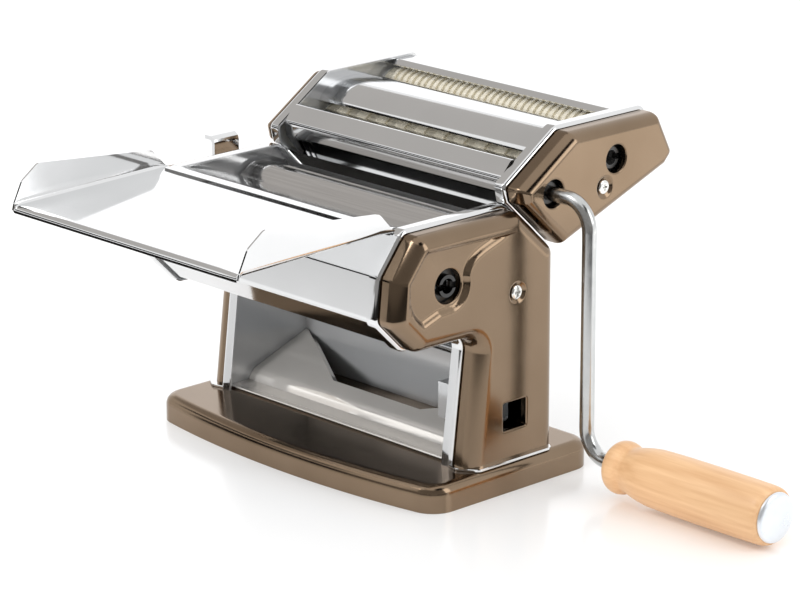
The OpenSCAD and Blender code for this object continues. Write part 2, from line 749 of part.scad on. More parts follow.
// Feed tray
module tray_side() {
    peak = tray_tip + [14.5, tray_side];
    along_x(tray_w / 2 - tray_t, tray_w / 2) polygon([tray_tip - [0, tray_t], tray_tip + [0, 0.5],
        tray_tip + [5.5, 0.62 * tray_side], peak, tray_back + [-9, 9], tray_back + [-1.5, 1],
        tray_back - [0, tray_t]]);
}
module feed_tray() {
    tongue_w = 2 * (flange_in - tray_gap);
    color(chrome) {
        sheet([tray_tip, tray_back], tray_t, tray_w);
        sheet([tray_back - [4, 0.1], tray_back, tongue_tip], tray_t, tongue_w);
        sheet([tray_tip + [0, -3], tray_tip], tray_t, tray_w);
        both_sides() tray_side();
    }
}

// Cutter unit
module cutter_frame() {
    web = slope_a + (rail_gap + sheet_t) * slope_up;
    difference() {
        union() {
            flanged_plate(cut_pts, cut_radii, false);
            along_x(flange_in - 1.5, flange_in - 0.3) polygon([web + 6 * slope_dir, web + 32 * slope_dir,
                web + 32 * slope_dir - 2.4 * slope_up, web + 6 * slope_dir - 2.4 * slope_up]);
            along_x(flange_in - 1.5, flange_in + eps) polygon([web + 6 * slope_dir, web + 32 * slope_dir,
                web + 32 * slope_dir - sheet_t * slope_up, web + 6 * slope_dir - sheet_t * slope_up]);
        }
        for (p = [wide_axis, wide_axis_2, narrow_axis, narrow_axis_2])
            bar_x(cut_bush_d, inner - 1, half + 1, p);
        for (p = [cut_tie_a, cut_tie_b]) bar_x(tie_screw_d + 0.3, inner - 1, half + 1, p);
    }
}
module cutter_right_frame() { color(chrome) cutter_frame(); }
module cutter_left_frame() { color(chrome) mirror([1, 0, 0]) cutter_frame(); }
module cutter_cover(depth, holes) {
    cutter_rim(depth);
    cover_face(depth) difference() {
        polygon(cutter_outline(cutter_cut));
        translate(cut_screw_at) circle(d = screw_d + 0.3);
        for (p = holes) translate(p) circle(d = cutter_hole_d);
    }
}
module cutter_right_cover() { color(bronze) cutter_cover(cover_depth, [wide_axis, narrow_axis]); }
module cutter_left_cover() { color(bronze) mirror([1, 0, 0]) cutter_cover(cutter_left_depth, []); }
module cutter_stud(depth) {
    color(steel) difference() {
        bar_x(stud_d, half, half + depth - cover_t - lay_gap, cut_screw_at);
        bar_x(screw_d + 2 * seat_fit, half + 1, half + depth, cut_screw_at);
    }
}
module cutter_studs() {
    cutter_stud(cover_depth);
    mirror([1, 0, 0]) cutter_stud(cutter_left_depth);
}
module cutter_cover_screw(depth) {
    color(chrome) pan_screw(screw_d, screw_head_d, screw_head_h, 4.5, half + depth + lay_gap, cut_screw_at);
}
module cutter_cover_screws() {
    cutter_cover_screw(cover_depth);
    mirror([1, 0, 0]) cutter_cover_screw(cutter_left_depth);
}
cut_w = 2 * inner - 2 * lay_gap;
cut_sheet_t = 0.8;
module cutter_front_sheet() {
    path = bent([wide_axis + [-6, -10.5], wide_axis + [-13.8, -0.5], wide_axis + [-15.2, 6.5],
        wide_axis + [-8.5, 13.9], wide_axis + [6.2, 9.9]], 3.2);
    color(chrome) sheet(path, cut_sheet_t, 2 * flange_in - 2 * lay_gap);
}
module cutter_hood() {
    front = curve([[11.2, 11.5], [13.5, 18], [23, 20], [31, 20.2]], 10);
    rear = curve([[37, 20.2], [41, 20], [44, 19.2], [46.5, 17.2]], 6);
    path = [for (p = concat([[10.8, 8.5]], front, rear)) wide_axis + p];
    color(chrome) sheet(path, cut_sheet_t, cut_w);
}
module cutter_rear_sheet() {
    skin_c = inset(cut_pts, sheet_t + lay_gap);
    edge = [narrow_axis_2.x - 1.5, skin_c[3].y];
    low = skin_c[3] + (skin_c[4] - skin_c[3]) * 0.88;
    color(chrome) sheet(bent([edge - [3.1, 1.9], edge, skin_c[3], low], 3), cut_sheet_t, cut_w);
}

// Cutter rollers: discs of one roller run in the grooves of the other
function ribs(cut, lead) = let (n = floor((2 * roll_end - 4) / (2 * cut)))
    [for (i = [0:n - 1]) (i - n / 2) * 2 * cut + (lead ? cut : 0)];
module cutter_roller(cut, lead, x1, p) {
    r = cutter_d / 2;
    discs = ribs(cut, lead);
    profile = concat([[0, -roll_end], [groove_r, -roll_end]],
        [for (x = discs) each [[groove_r, x + blade_fit / 2], [r, x + blade_fit / 2],
            [r, x + cut - blade_fit / 2], [groove_r, x + cut - blade_fit / 2]]],
        [[groove_r, roll_end], [0, roll_end]]);
    translate([0, p.x, p.y]) rotate([0, 90, 0]) rotate_extrude() polygon(profile);
    bar_x(cutter_journal_d, -half - 1.5, x1, p);
}
module cutter_drive(cut, p) {
    color(steel) difference() {
        cutter_roller(cut, false, socket_end - 1, p);
        socket_cut(socket_end - 1, p);
    }
}
gear_seat = gear_x + gear_w;
module wide_drive_cutter() { cutter_drive(wide_cut, wide_axis); }
module narrow_drive_cutter() { cutter_drive(narrow_cut, narrow_axis); }
module wide_driven_cutter() { color(steel) cutter_roller(wide_cut, true, gear_seat, wide_axis_2); }
module narrow_driven_cutter() { color(steel) cutter_roller(narrow_cut, true, gear_seat, narrow_axis_2); }
module cutter_gear(p, phase) {
    color(steel) gear(12, cutter_pitch / 2, cutter_add, cutter_ded, cutter_thin,
        cutter_journal_d + 2 * seat_fit, phase, p, gear_x);
}
module wide_drive_gear() { cutter_gear(wide_axis, wide_tilt); }
module wide_driven_gear() { cutter_gear(wide_axis_2, wide_tilt + 195); }
module narrow_drive_gear() { cutter_gear(narrow_axis, narrow_tilt); }
module narrow_driven_gear() { cutter_gear(narrow_axis_2, narrow_tilt + 195); }
module comb(cut, lead, p) {
    bar_top = p.y - cutter_d / 2 - 0.6;
    finger_top = p.y - groove_r - 0.4;
    translate([0, p.x + comb_t / 2, 0]) rotate([90, 0, 0]) linear_extrude(comb_t) {
        translate([-inner + lay_gap, bar_top - comb_h]) square([2 * (inner - lay_gap), comb_h]);
        for (x = ribs(cut, lead))
            translate([x + (lead ? -cut : cut) + 0.3, bar_top - 1])
                square([cut - 0.6, finger_top - bar_top + 1]);
    }
}
module wide_combs() {
    color(steel) {
        comb(wide_cut, false, wide_axis);
        comb(wide_cut, true, wide_axis_2);
    }
}
module narrow_combs() {
    color(steel) {
        comb(narrow_cut, false, narrow_axis);
        comb(narrow_cut, true, narrow_axis_2);
    }
}
module cutter_bushes() {
    color(nylon) both_sides() for (p = [wide_axis, wide_axis_2, narrow_axis, narrow_axis_2]) difference() {
        union() {
            bar_x(cut_bush_d - 2 * seat_fit, inner - eps, half + 0.4, p);
            bar_x(cut_bush_d + 2, inner - 1.2, inner, p);
        }
        bar_x(cutter_journal_d + 2 * run_fit, inner - 5, half + 5, p);
    }
}
module cutter_tie_rods() { for (p = [cut_tie_a, cut_tie_b]) tie_rod(cut_tie_d, p); }
module cutter_tie_screws() {
    color(steel) both_sides() for (p = [cut_tie_a, cut_tie_b])
        pan_screw(tie_screw_d, 5.4, 2, 10, half, p);
}

// Crank
module bend(x, z, turn) {
    translate([x, wide_axis.x, z]) rotate([90, 0, 0]) rotate([0, 0, turn])
        rotate_extrude(angle = 90) translate([crank_bend, 0]) circle(d = rod_d);
}
module crank_rod() {
    tip = socket_end - 1 - socket_depth + 1;
    color(chrome) {
        bar_x(rod_d, tip, arm_x - crank_bend, wide_axis);
        bend(arm_x - crank_bend, wide_axis.y - crank_bend, 0);
        translate([arm_x, wide_axis.x, grip_z + crank_bend])
            cylinder(d = rod_d, h = crank_arm - 2 * crank_bend);
        bend(arm_x + crank_bend, grip_z + crank_bend, 180);
        bar_x(rod_d, arm_x + crank_bend, grip_x + grip_l - 8, [wide_axis.x, grip_z]);
        translate([socket_end - 1 - 2.2, wide_axis.x, wide_axis.y]) rotate([90, 0, 0])
            cylinder(d = pin_d, h = pin_l, center = true);
    }
}
module crank_grip() {
    r = grip_d / 2;
    profile = concat([[0, 0], [8, 0], [10.5, 1.2], [11.9, 4], [11.6, 7.5], [9.8, 10]],
        curve([[9.8, 10.6], [11.2, 13], [r - 1.2, 16], [r - 0.5, 24]], 6),
        curve([[r - 0.3, 30], [r, 45], [r, 65], [r - 0.2, grip_l - 6]], 6),
        [[r - 1.2, grip_l - 2], [r - 2.4, grip_l], [0, grip_l]]);
    color(wood) translate([grip_x, wide_axis.x, grip_z]) rotate([0, 90, 0]) difference() {
        rotate_extrude() polygon(profile);
        translate([0, 0, -1]) cylinder(d = grip_bore, h = grip_l - 6);
    }
}
module grip_cap() {
    r = cap_d / 2;
    profile = concat([[0, 0], [r, 0]], arc([r - 1.2, 1], 1.2, 0, 80, 5), [[0, cap_h]]);
    color(chrome) translate([grip_x + grip_l, wide_axis.x, grip_z]) rotate([0, 90, 0])
        rotate_extrude() polygon(profile);
}

base_pan();
base_plate();
right_frame();
left_frame();
right_cover();
left_cover();
front_fairing();
rear_panel();
chute();
clamp_socket();
front_tie_rod();
rear_tie_rod();
lower_tie_rod();
tie_rod_screws();
front_scraper();
rear_scraper();
roller_bushes();
drive_roller();
drive_gear();
bearing_bridge();
gap_bush();
eccentric_shaft();
roller_liners();
adjust_roller();
adjust_gear();
gap_dial();
click_washer();
gap_knob();
knob_screw();
cover_stud();
cover_screws();
foot_screws();
foot_nuts();
feed_tray();
cutter_right_frame();
cutter_left_frame();
cutter_right_cover();
cutter_left_cover();
cutter_front_sheet();
cutter_hood();
cutter_rear_sheet();
wide_drive_cutter();
wide_driven_cutter();
wide_drive_gear();
wide_driven_gear();
narrow_drive_cutter();
narrow_driven_cutter();
narrow_drive_gear();
narrow_driven_gear();
wide_combs();
narrow_combs();
cutter_bushes();
cutter_tie_rods();
cutter_tie_screws();
cutter_studs();
cutter_cover_screws();
crank_rod();
crank_grip();
grip_cap();
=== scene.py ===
import json
import logging
import math
from dataclasses import dataclass, field
from enum import Enum
from functools import partial
from typing import Callable, Dict, List, Optional, Sequence, Tuple

import bmesh
import bpy
from mathutils import Matrix, Vector
from mathutils.geometry import delaunay_2d_cdt


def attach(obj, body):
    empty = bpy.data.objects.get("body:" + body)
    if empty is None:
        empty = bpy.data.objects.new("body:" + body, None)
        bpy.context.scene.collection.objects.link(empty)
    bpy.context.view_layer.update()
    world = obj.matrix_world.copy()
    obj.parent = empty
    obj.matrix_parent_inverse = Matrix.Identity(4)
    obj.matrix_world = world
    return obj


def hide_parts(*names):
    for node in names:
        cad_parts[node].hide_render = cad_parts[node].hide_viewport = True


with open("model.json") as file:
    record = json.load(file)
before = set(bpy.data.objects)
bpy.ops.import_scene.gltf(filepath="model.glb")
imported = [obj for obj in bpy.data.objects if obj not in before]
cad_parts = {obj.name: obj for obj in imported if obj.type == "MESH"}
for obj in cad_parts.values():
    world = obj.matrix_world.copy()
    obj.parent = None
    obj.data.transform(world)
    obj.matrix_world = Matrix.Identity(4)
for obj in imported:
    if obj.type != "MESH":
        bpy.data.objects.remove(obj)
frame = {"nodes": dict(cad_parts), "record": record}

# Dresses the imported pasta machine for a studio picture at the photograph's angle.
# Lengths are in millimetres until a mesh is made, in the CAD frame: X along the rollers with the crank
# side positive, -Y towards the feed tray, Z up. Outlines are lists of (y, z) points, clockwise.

Point = Tuple[float, float]
Path = List[Point]
Place = Tuple[float, float, float]
Line = List[bmesh.types.BMVert]

LOG = logging.getLogger("pasta_machine")
MM = 0.001
PLAY = 0.05
POLE = 1e-6
BLACK = (0.012, 0.011, 0.010)
NOISE_SPAN = (0.3, 0.7)
# Colour of the painted shade on the metal inside the cover holes.
HOLE_SHADE_COLOUR = (0.07, 0.07, 0.07, 1)
COAT_ROUGHNESS = 0.04
BUMP_HEIGHT = 0.0002
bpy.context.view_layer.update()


class Slot(Enum):
    """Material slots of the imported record."""

    BRONZE = "bronze"
    CHROME = "chrome"
    STEEL = "steel"
    NYLON = "nylon"
    WOOD = "wood"
    CAP = "cap"


class Grain(Enum):
    """How the surface detail of a finish runs, by its scale along X."""

    CLOUD = 1.0
    BRUSHED_X = 0.02
    WOOD_X = 0.06


@dataclass(frozen=True)
class Finish:
    """A procedural finish.

    Attributes:
        name: Material name.
        slot: Record slot that the finish stands for.
        dark: Darker base colour.
        light: Lighter base colour.
        metallic: Metallic value of the shader.
        rough: Lowest and highest roughness.
        scale: Scale of the detail, per metre.
        bump: Bump height strength.
        grain: Direction of the detail.
        coat: Clear coat weight.
        hole_shade_from: Distance from the middle plane past which the metal is painted dark as shade inside
            the cover holes, or 0.
    """

    name: str
    slot: Slot
    dark: Place
    light: Place
    metallic: float
    rough: Tuple[float, float]
    scale: float = 60.0
    bump: float = 0.0
    grain: Grain = Grain.CLOUD
    coat: float = 0.0
    hole_shade_from: float = 0.0

    def stretch(self) -> Place:
        """Returns the scale of the detail along X, Y and Z."""
        return (self.scale * self.grain.value, self.scale, self.scale)

    def material(self) -> bpy.types.Material:
        """Returns the material of this finish, made on first use."""
        known = bpy.data.materials.get(self.name)
        if known:
            return known
        mat = bpy.data.materials.new(self.name)
        mat.use_nodes = True
        tree = mat.node_tree
        shader = tree.nodes["Principled BSDF"]

        def node(kind: str, link: bpy.types.NodeSocket, to: str, values: Dict[str, object]) -> bpy.types.Node:
            """Returns a new node with one input linked and others set."""
            made = tree.nodes.new(kind)
            tree.links.new(link, made.inputs[to])
            for key, value in values.items():
                made.inputs[key].default_value = value
            return made

        for key, value in (("Metallic", self.metallic), ("Coat Weight", self.coat),
                           ("Coat Roughness", COAT_ROUGHNESS)):
            shader.inputs[key].default_value = value
        place = tree.nodes.new("ShaderNodeTexCoord").outputs["Object"]
        mapping = node("ShaderNodeMapping", place, "Vector", {"Scale": self.stretch()})
        detail = 2.0 if self.grain is Grain.CLOUD else 6.0
        noise = node("ShaderNodeTexNoise", mapping.outputs["Vector"], "Vector",
                     {"Scale": 1.0, "Detail": detail}).outputs["Fac"]
        ramp = node("ShaderNodeValToRGB", noise, "Fac", {})
        for stop, at, tone in zip(ramp.color_ramp.elements, NOISE_SPAN, (self.dark, self.light)):
            stop.position, stop.color = at, (*tone, 1)
        colour = ramp.outputs["Color"]
        # Paints the metal past a distance from the middle plane dark, as shade inside the cover holes.
        if self.hole_shade_from:
            apart = node("ShaderNodeSeparateXYZ", place, "Vector", {})
            past = node("ShaderNodeMath", apart.outputs["X"], "Value", {})
            past.operation = "GREATER_THAN"
            past.inputs[1].default_value = self.hole_shade_from * MM
            mix = node("ShaderNodeMixRGB", past.outputs["Value"], "Fac", {"Color2": HOLE_SHADE_COLOUR})
            tree.links.new(colour, mix.inputs["Color1"])
            colour = mix.outputs["Color"]
        tree.links.new(colour, shader.inputs["Base Color"])
        names = ("From Min", "From Max", "To Min", "To Max")
        span = node("ShaderNodeMapRange", noise, "Value", dict(zip(names, NOISE_SPAN + self.rough)))
        tree.links.new(span.outputs["Result"], shader.inputs["Roughness"])
        if self.bump:
            bump = node("ShaderNodeBump", noise, "Height", {"Strength": self.bump, "Distance": BUMP_HEIGHT})
            tree.links.new(bump.outputs["Normal"], shader.inputs["Normal"])
        return mat


BRONZE = Finish("bronze_polished", Slot.BRONZE, (0.240, 0.172, 0.115), (0.268, 0.194, 0.132), 1.0,
                (0.14, 0.18), 35.0)
CHROME = Finish("chrome_sheet", Slot.CHROME, (0.77, 0.775, 0.78), (0.80, 0.805, 0.81), 1.0, (0.06, 0.08),
                30.0)
INSIDE = Finish("sheet_inside", Slot.CHROME, (0.60, 0.61, 0.62), (0.64, 0.65, 0.66), 0.60, (0.12, 0.15), 14.0)
CHUTE = Finish("chute_sheet", Slot.CHROME, (0.93, 0.895, 0.85), (0.97, 0.935, 0.89), 0.62, (0.07, 0.10), 14.0)
# The roller and cutter ends past 76.5 mm on the crank side are painted dark, as shade inside the holes of the
# right covers.
ROLLER = Finish("roller_steel", Slot.CHROME, (0.62, 0.61, 0.60), (0.72, 0.71, 0.70), 1.0, (0.08, 0.16), 900.0,
                0.05, Grain.BRUSHED_X, hole_shade_from=76.5)
COMB = Finish("cutter_rings", Slot.STEEL, (0.78, 0.73, 0.60), (0.90, 0.85, 0.72), 0.3, (0.20, 0.30), 500.0,
              hole_shade_from=76.5)
# Dark steel for the gears and the bearing bridge; on the cutter combs the dark is painted shade in the gaps
# between the cutter rings.
DARK_STEEL = Finish("dark_steel", Slot.STEEL, (0.05, 0.05, 0.05), (0.09, 0.09, 0.09), 0.8, (0.30, 0.42), 500.0)
ROD = Finish("rod_chrome", Slot.CHROME, (0.58, 0.59, 0.59), (0.66, 0.67, 0.67), 1.0, (0.20, 0.26), 200.0)
SCREW = Finish("screw_chrome", Slot.CHROME, (0.80, 0.80, 0.78), (0.88, 0.88, 0.86), 1.0, (0.12, 0.20), 300.0)
STEEL = Finish("turned_steel", Slot.STEEL, (0.50, 0.51, 0.52), (0.62, 0.63, 0.64), 1.0, (0.18, 0.30), 700.0,
               0.05, Grain.BRUSHED_X)
NYLON = Finish("nylon", Slot.NYLON, (0.80, 0.79, 0.74), (0.86, 0.85, 0.81), 0.0, (0.45, 0.6), 80.0)
WOOD = Finish("beech", Slot.WOOD, (0.76, 0.44, 0.22), (0.90, 0.575, 0.315), 0.0, (0.38, 0.5), 420.0, 0.12,
              Grain.WOOD_X, 0.15)
CAP = Finish("cap_metal", Slot.CAP, (0.82, 0.86, 0.91), (0.88, 0.91, 0.95), 0.75, (0.26, 0.34), 120.0)

SLOT_FINISH = {finish.slot.value: finish for finish in (BRONZE, CHROME, STEEL, NYLON, WOOD, CAP)}


def polar(angle: float) -> Point:
    """Returns the unit vector at an angle in degrees."""
    return (math.cos(math.radians(angle)), math.sin(math.radians(angle)))


def plus(a: Point, b: Point, k: float = 1.0) -> Point:
    """Returns a + k * b."""
    return (a[0] + k * b[0], a[1] + k * b[1])


def between(a: Point, b: Point, t: float) -> Point:
    """Returns the point at a share t of the way from a to b."""
    return (a[0] + t * (b[0] - a[0]), a[1] + t * (b[1] - a[1]))


def unit(a: Point, b: Point) -> Point:
    """Returns the unit vector from a to b."""
    d = math.hypot(b[0] - a[0], b[1] - a[1])
    return ((b[0] - a[0]) / d, (b[1] - a[1]) / d)


def right(a: Point, b: Point) -> Point:
    """Returns the unit normal to the right of the way from a to b."""
    e = unit(a, b)
    return (e[1], -e[0])


def mitre(p: Point, a: Point, b: Point, d: float) -> Point:
    """Returns p moved by d between the two normals a and b."""
    k = d / (1 + a[0] * b[0] + a[1] * b[1])
    return (p[0] + k * (a[0] + b[0]), p[1] + k * (a[1] + b[1]))


def fillet(a: Point, p: Point, b: Point, r: float, steps: int = 8) -> Path:
    """Returns the arc of radius r that rounds the corner p between a and b."""
    if r <= 0:
        return [p]
    u, v = unit(p, a), unit(p, b)
    half = math.acos(max(-1.0, min(1.0, u[0] * v[0] + u[1] * v[1]))) / 2
    mid = unit((0, 0), (u[0] + v[0], u[1] + v[1]))
    c = plus(p, mid, r / math.sin(half))
    s = plus(plus(p, u, r / math.tan(half)), c, -1)
    e = plus(plus(p, v, r / math.tan(half)), c, -1)
    out = []
    for i in range(steps + 1):
        t = i / steps
        w = unit((0, 0), (s[0] * (1 - t) + e[0] * t, s[1] * (1 - t) + e[1] * t))
        out.append(plus(c, w, r))
    return out


def rounded(points: Path, radii: Sequence[float], steps: int = 8) -> Path:
    """Returns a closed outline with each corner rounded by its own radius."""
    n = len(points)
    corners = [fillet(points[i - 1], points[i], points[(i + 1) % n], radii[i], steps) for i in range(n)]
    return [q for corner in corners for q in corner]


def bent(path: Path, r: float, steps: int = 10) -> Path:
    """Returns an open path with its inner corners rounded."""
    out = [path[0]]
    for i in range(1, len(path) - 1):
        out += fillet(path[i - 1], path[i], path[i + 1], r, steps)
    return out + [path[-1]]


def inset(points: Path, d: float) -> Path:
    """Returns a clockwise outline moved inward by d."""
    n = len(points)
    return [mitre(points[i], right(points[i - 1], points[i]), right(points[i], points[(i + 1) % n]), d)
            for i in range(n)]


def shifted(path: Path, d: float) -> Path:
    """Returns an open path moved to its right by d."""
    n = len(path)
    out = []
    for i in range(n):
        a = right(path[max(i - 1, 0)], path[max(i, 1)])
        b = right(path[min(i, n - 2)], path[min(i + 1, n - 1)])
        out.append(mitre(path[i], a, b, d))
    return out


def bezier(p: Sequence[Point], steps: int = 16) -> Path:
    """Returns points on a cubic curve through its four control points."""
    out = []
    for i in range(steps + 1):
        t = i / steps
        k = ((1 - t) ** 3, 3 * (1 - t) ** 2 * t, 3 * (1 - t) * t * t, t ** 3)
        out.append((sum(k[j] * p[j][0] for j in range(4)), sum(k[j] * p[j][1] for j in range(4))))
    return out


def quarter(run: float, rise: float, top: float, step: int) -> Path:
    """Returns a rounded edge as (cut, height) points that end at the top."""
    turns = [polar(a) for a in range(0, 91, step)]
    return [(run * (1 - c), top - rise * (1 - s)) for c, s in turns]


def circle(c: Point, r: float, n: int = 48) -> Path:
    """Returns a closed circle about c."""
    return [plus(c, polar(-360 * i / n), r) for i in range(n)]


def inside(p: Point, loop: Path) -> bool:
    """Returns whether a point lies in a closed outline."""
    hit = False
    for i, b in enumerate(loop):
        a = loop[i - 1]
        if (a[1] > p[1]) != (b[1] > p[1]):
            if p[0] < a[0] + (p[1] - a[1]) * (b[0] - a[0]) / (b[1] - a[1]):
                hit = not hit
    return hit


def distance(p: Point, loop: Path) -> float:
    """Returns the distance from a point to a closed outline, positive inside it."""
    best = 1e9
    for i, b in enumerate(loop):
        a = loop[i - 1]
        dx, dy = b[0] - a[0], b[1] - a[1]
        t = ((p[0] - a[0]) * dx + (p[1] - a[1]) * dy) / max(dx * dx + dy * dy, 1e-12)
        t = max(0.0, min(1.0, t))
        best = min(best, math.hypot(p[0] - a[0] - t * dx, p[1] - a[1] - t * dy))
    return best if inside(p, loop) else -best


class Axis(Enum):
    """How a plane outline and its height map to the object's frame."""

    X_RIGHT = 1
    X_LEFT = -1
    Z_UP = 0

    def place(self, p: Point, h: float) -> Vector:
        """Returns the place in metres of an outline point at a height."""
        if self is Axis.Z_UP:
            return Vector((p[0] * MM, p[1] * MM, h * MM))
        return Vector((self.value * h * MM, p[0] * MM, p[1] * MM))

    def places(self, points: Path, h: float) -> List[Vector]:
        """Returns the places in metres of outline points at a height."""
        return [self.place(p, h) for p in points]

    def normal(self) -> Vector:
        """Returns the unit vector that heights count along."""
        return self.place((0, 0), 1.0).normalized()


SIDES = ((Axis.X_RIGHT, "right"), (Axis.X_LEFT, "left"))


@dataclass
class Piece:
    """A mesh under construction that becomes one visible piece.

    Attributes:
        name: Object name.
        body: CAD body that the piece rides on.
        finish: Finish of the whole piece.
        nodes: CAD nodes that the piece stands for.
        sharp: Angle in degrees above which an edge is drawn sharp.
        inner: Finish of the faces with material index 1.
    """

    name: str
    body: str
    finish: Finish
    nodes: Tuple[str, ...] = ()
    sharp: float = 32.0
    inner: Optional[Finish] = None
    bm: bmesh.types.BMesh = field(default_factory=bmesh.new)

    def edges(self, line: Line, closed: bool = True) -> List[bmesh.types.BMEdge]:
        """Returns the edges along a line of vertices, adding those that are missing."""
        ends = line[1:] + line[:1] if closed else line[1:]
        return [self.bm.edges.get(pair) or self.bm.edges.new(pair) for pair in zip(line, ends)]

    def line(self, places: Sequence[Vector], closed: bool = True) -> Line:
        """Adds a line of vertices joined by edges and returns it."""
        line = [self.bm.verts.new(p) for p in places]
        self.edges(line, closed)
        return line

    def grow(self, line: Line, places: Sequence[Vector], closed: bool = True) -> Line:
        """Extrudes a line of vertices to new places.

        Args:
            line: Vertices to extrude from.
            places: Where the copy of each vertex goes.
            closed: Whether the last vertex is joined to the first.

        Returns:
            The new line of vertices, in the same order.
        """
        made = bmesh.ops.extrude_edge_only(self.bm, edges=self.edges(line, closed))["geom"]
        fresh = {v for v in made if isinstance(v, bmesh.types.BMVert)}
        out = []
        for v, place in zip(line, places):
            copy = next(e.other_vert(v) for e in v.link_edges if e.other_vert(v) in fresh)
            copy.co = place
            out.append(copy)
        return out

    def loft(self, rows: Sequence[Sequence[Vector]], closed: bool = True) -> Tuple[Line, Line]:
        """Extrudes a line through rows of places and returns the first and the last line."""
        first = last = self.line(rows[0], closed)
        for row in rows[1:]:
            last = self.grow(last, row, closed)
        return first, last

    def raise_face(self, ring: Line, by: Vector) -> Tuple[bmesh.types.BMFace, bmesh.types.BMFace]:
        """Closes a ring with a face, extrudes it and returns the two end faces."""
        low = self.bm.faces.new(ring)
        made = bmesh.ops.extrude_face_region(self.bm, geom=[low])["geom"]
        bmesh.ops.translate(self.bm, verts=[v for v in made if isinstance(v, bmesh.types.BMVert)], vec=by)
        return low, next(f for f in made if isinstance(f, bmesh.types.BMFace))

    def fill(self, rings: Sequence[Line], normal: Vector) -> None:
        """Fills the first closed ring with flat triangles and leaves the others open as holes."""
        bmesh.ops.triangle_fill(self.bm, use_beauty=True, use_dissolve=False, normal=normal,
                                edges=[e for ring in rings for e in self.edges(ring)])

    def press(self, outer: Line, flat: Path, h: Callable[[Point], float], axis: Axis, holes: Sequence[Path],
              extra: Sequence[Point]) -> List[Line]:
        """Fills a ring with a face that rises and dips, which takes its own mesh of points.

        Args:
            outer: The ring to fill.
            flat: The ring's outline points.
            h: Height of the face at a point.
            axis: Mapping to the frame.
            holes: Closed outlines to leave open.
            extra: Further points of the face.

        Returns:
            The vertex ring of each hole.
        """
        coords, edges, spans = [], [], []
        for loop in [flat] + list(holes):
            k, n = len(coords), len(loop)
            coords += loop
            edges += [(k + i, k + (i + 1) % n) for i in range(n)]
            spans.append((k, k + n))
        flat_points = [Vector(c) for c in coords + list(extra)]
        pts, _, tris, origin, _, _ = delaunay_2d_cdt(flat_points, edges, [], 1, POLE)
        made, ring = [], {}
        for k, p in enumerate(pts):
            p = (p[0], p[1])
            src = origin[k][0] if origin[k] else -1
            made.append(outer[src] if 0 <= src < len(flat) else self.bm.verts.new(axis.place(p, h(p))))
            ring.update((o, made[-1]) for o in origin[k])
        for tri in tris:
            c = (sum(pts[i][0] for i in tri) / len(tri), sum(pts[i][1] for i in tri) / len(tri))
            if not any(inside(c, loop) for loop in holes):
                self.bm.faces.new([made[i] for i in tri])
        return [[ring[o] for o in range(*span)] for span in spans[1:]]

    def lip(self, ring: Line, loop: Path, h: float, depth: float, axis: Axis, r: float = 0.7) -> None:
        """Turns the edge of a hole inward with a small radius.

        Args:
            ring: Vertices of the hole.
            loop: The hole's outline, clockwise.
            h: Height of the surface.
            depth: How far the turned edge reaches in.
            axis: Mapping to the frame.
            r: Radius of the turned edge.
        """
        for a in (25, 50, 75, 90):
            c, s = polar(a)
            ring = self.grow(ring, axis.places(inset(loop, r * s), h - r * (1 - c)))
        self.grow(ring, axis.places(inset(loop, r), h - depth))

    def slab(self, outline: Path, h0: float, h1: float, axis: Axis, chamfer: float = 0.25) -> None:
        """Adds a flat plate with softened edges.

        Args:
            outline: Closed outline, clockwise.
            h0: Lower height.
            h1: Upper height.
            axis: Mapping to the frame.
            chamfer: Width of the softened edge.
        """
        ring = self.line(axis.places(outline, h0))
        low, high = self.raise_face(ring, axis.place((0, 0), h1 - h0))
        bmesh.ops.bevel(self.bm, geom=list(low.edges) + list(high.edges), offset=chamfer * MM,
                        offset_type="OFFSET", affect="EDGES", segments=1, profile=0.5, material=-1)

    def turn(self, profile: Path, at: Point, axis: Axis, steps: int, closed: bool = False) -> None:
        """Turns a profile about a line along X.

        Args:
            profile: Points as (height, radius).
            at: Place of the line.
            axis: Side that the heights count towards.
            steps: Number of steps in a full turn.
            closed: Whether the profile's last point is joined to the first.
        """
        row = self.line([axis.place(plus(at, (r, 0)), h) for h, r in profile], closed)
        bmesh.ops.spin(self.bm, geom=row + self.edges(row, closed), cent=axis.place(at, 0), axis=(1, 0, 0),
                       dvec=(0, 0, 0), angle=math.tau, steps=steps, use_merge=True)
        bmesh.ops.remove_doubles(self.bm, verts=self.bm.verts[:], dist=POLE)

    def thicken(self, t: float) -> None:
        """Gives an open sheet its thickness below its upper side."""
        bmesh.ops.recalc_face_normals(self.bm, faces=self.bm.faces[:])
        if sum(f.normal.z * f.calc_area() for f in self.bm.faces) < 0:
            bmesh.ops.reverse_faces(self.bm, faces=self.bm.faces[:])
        bmesh.ops.solidify(self.bm, geom=self.bm.faces[:], thickness=t * MM)

    def make(self) -> bpy.types.Object:
        """Finishes the mesh and returns the piece, riding on its body."""
        bmesh.ops.recalc_face_normals(self.bm, faces=self.bm.faces[:])
        for f in self.bm.faces:
            f.smooth = True
        for e in self.bm.edges:
            if e.calc_face_angle(0.0) > math.radians(self.sharp):
                e.smooth = False
        mesh = bpy.data.meshes.new(self.name)
        self.bm.to_mesh(mesh)
        self.bm.free()
        obj = bpy.data.objects.new(self.name, mesh)
        bpy.context.scene.collection.objects.link(obj)
        mesh.materials.append(self.finish.material())
        if self.inner:
            mesh.materials.append(self.inner.material())
        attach(obj, self.body)
        if self.nodes:
            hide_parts(*self.nodes)
        LOG.info("piece %s on %s", self.name, self.body)
        return obj


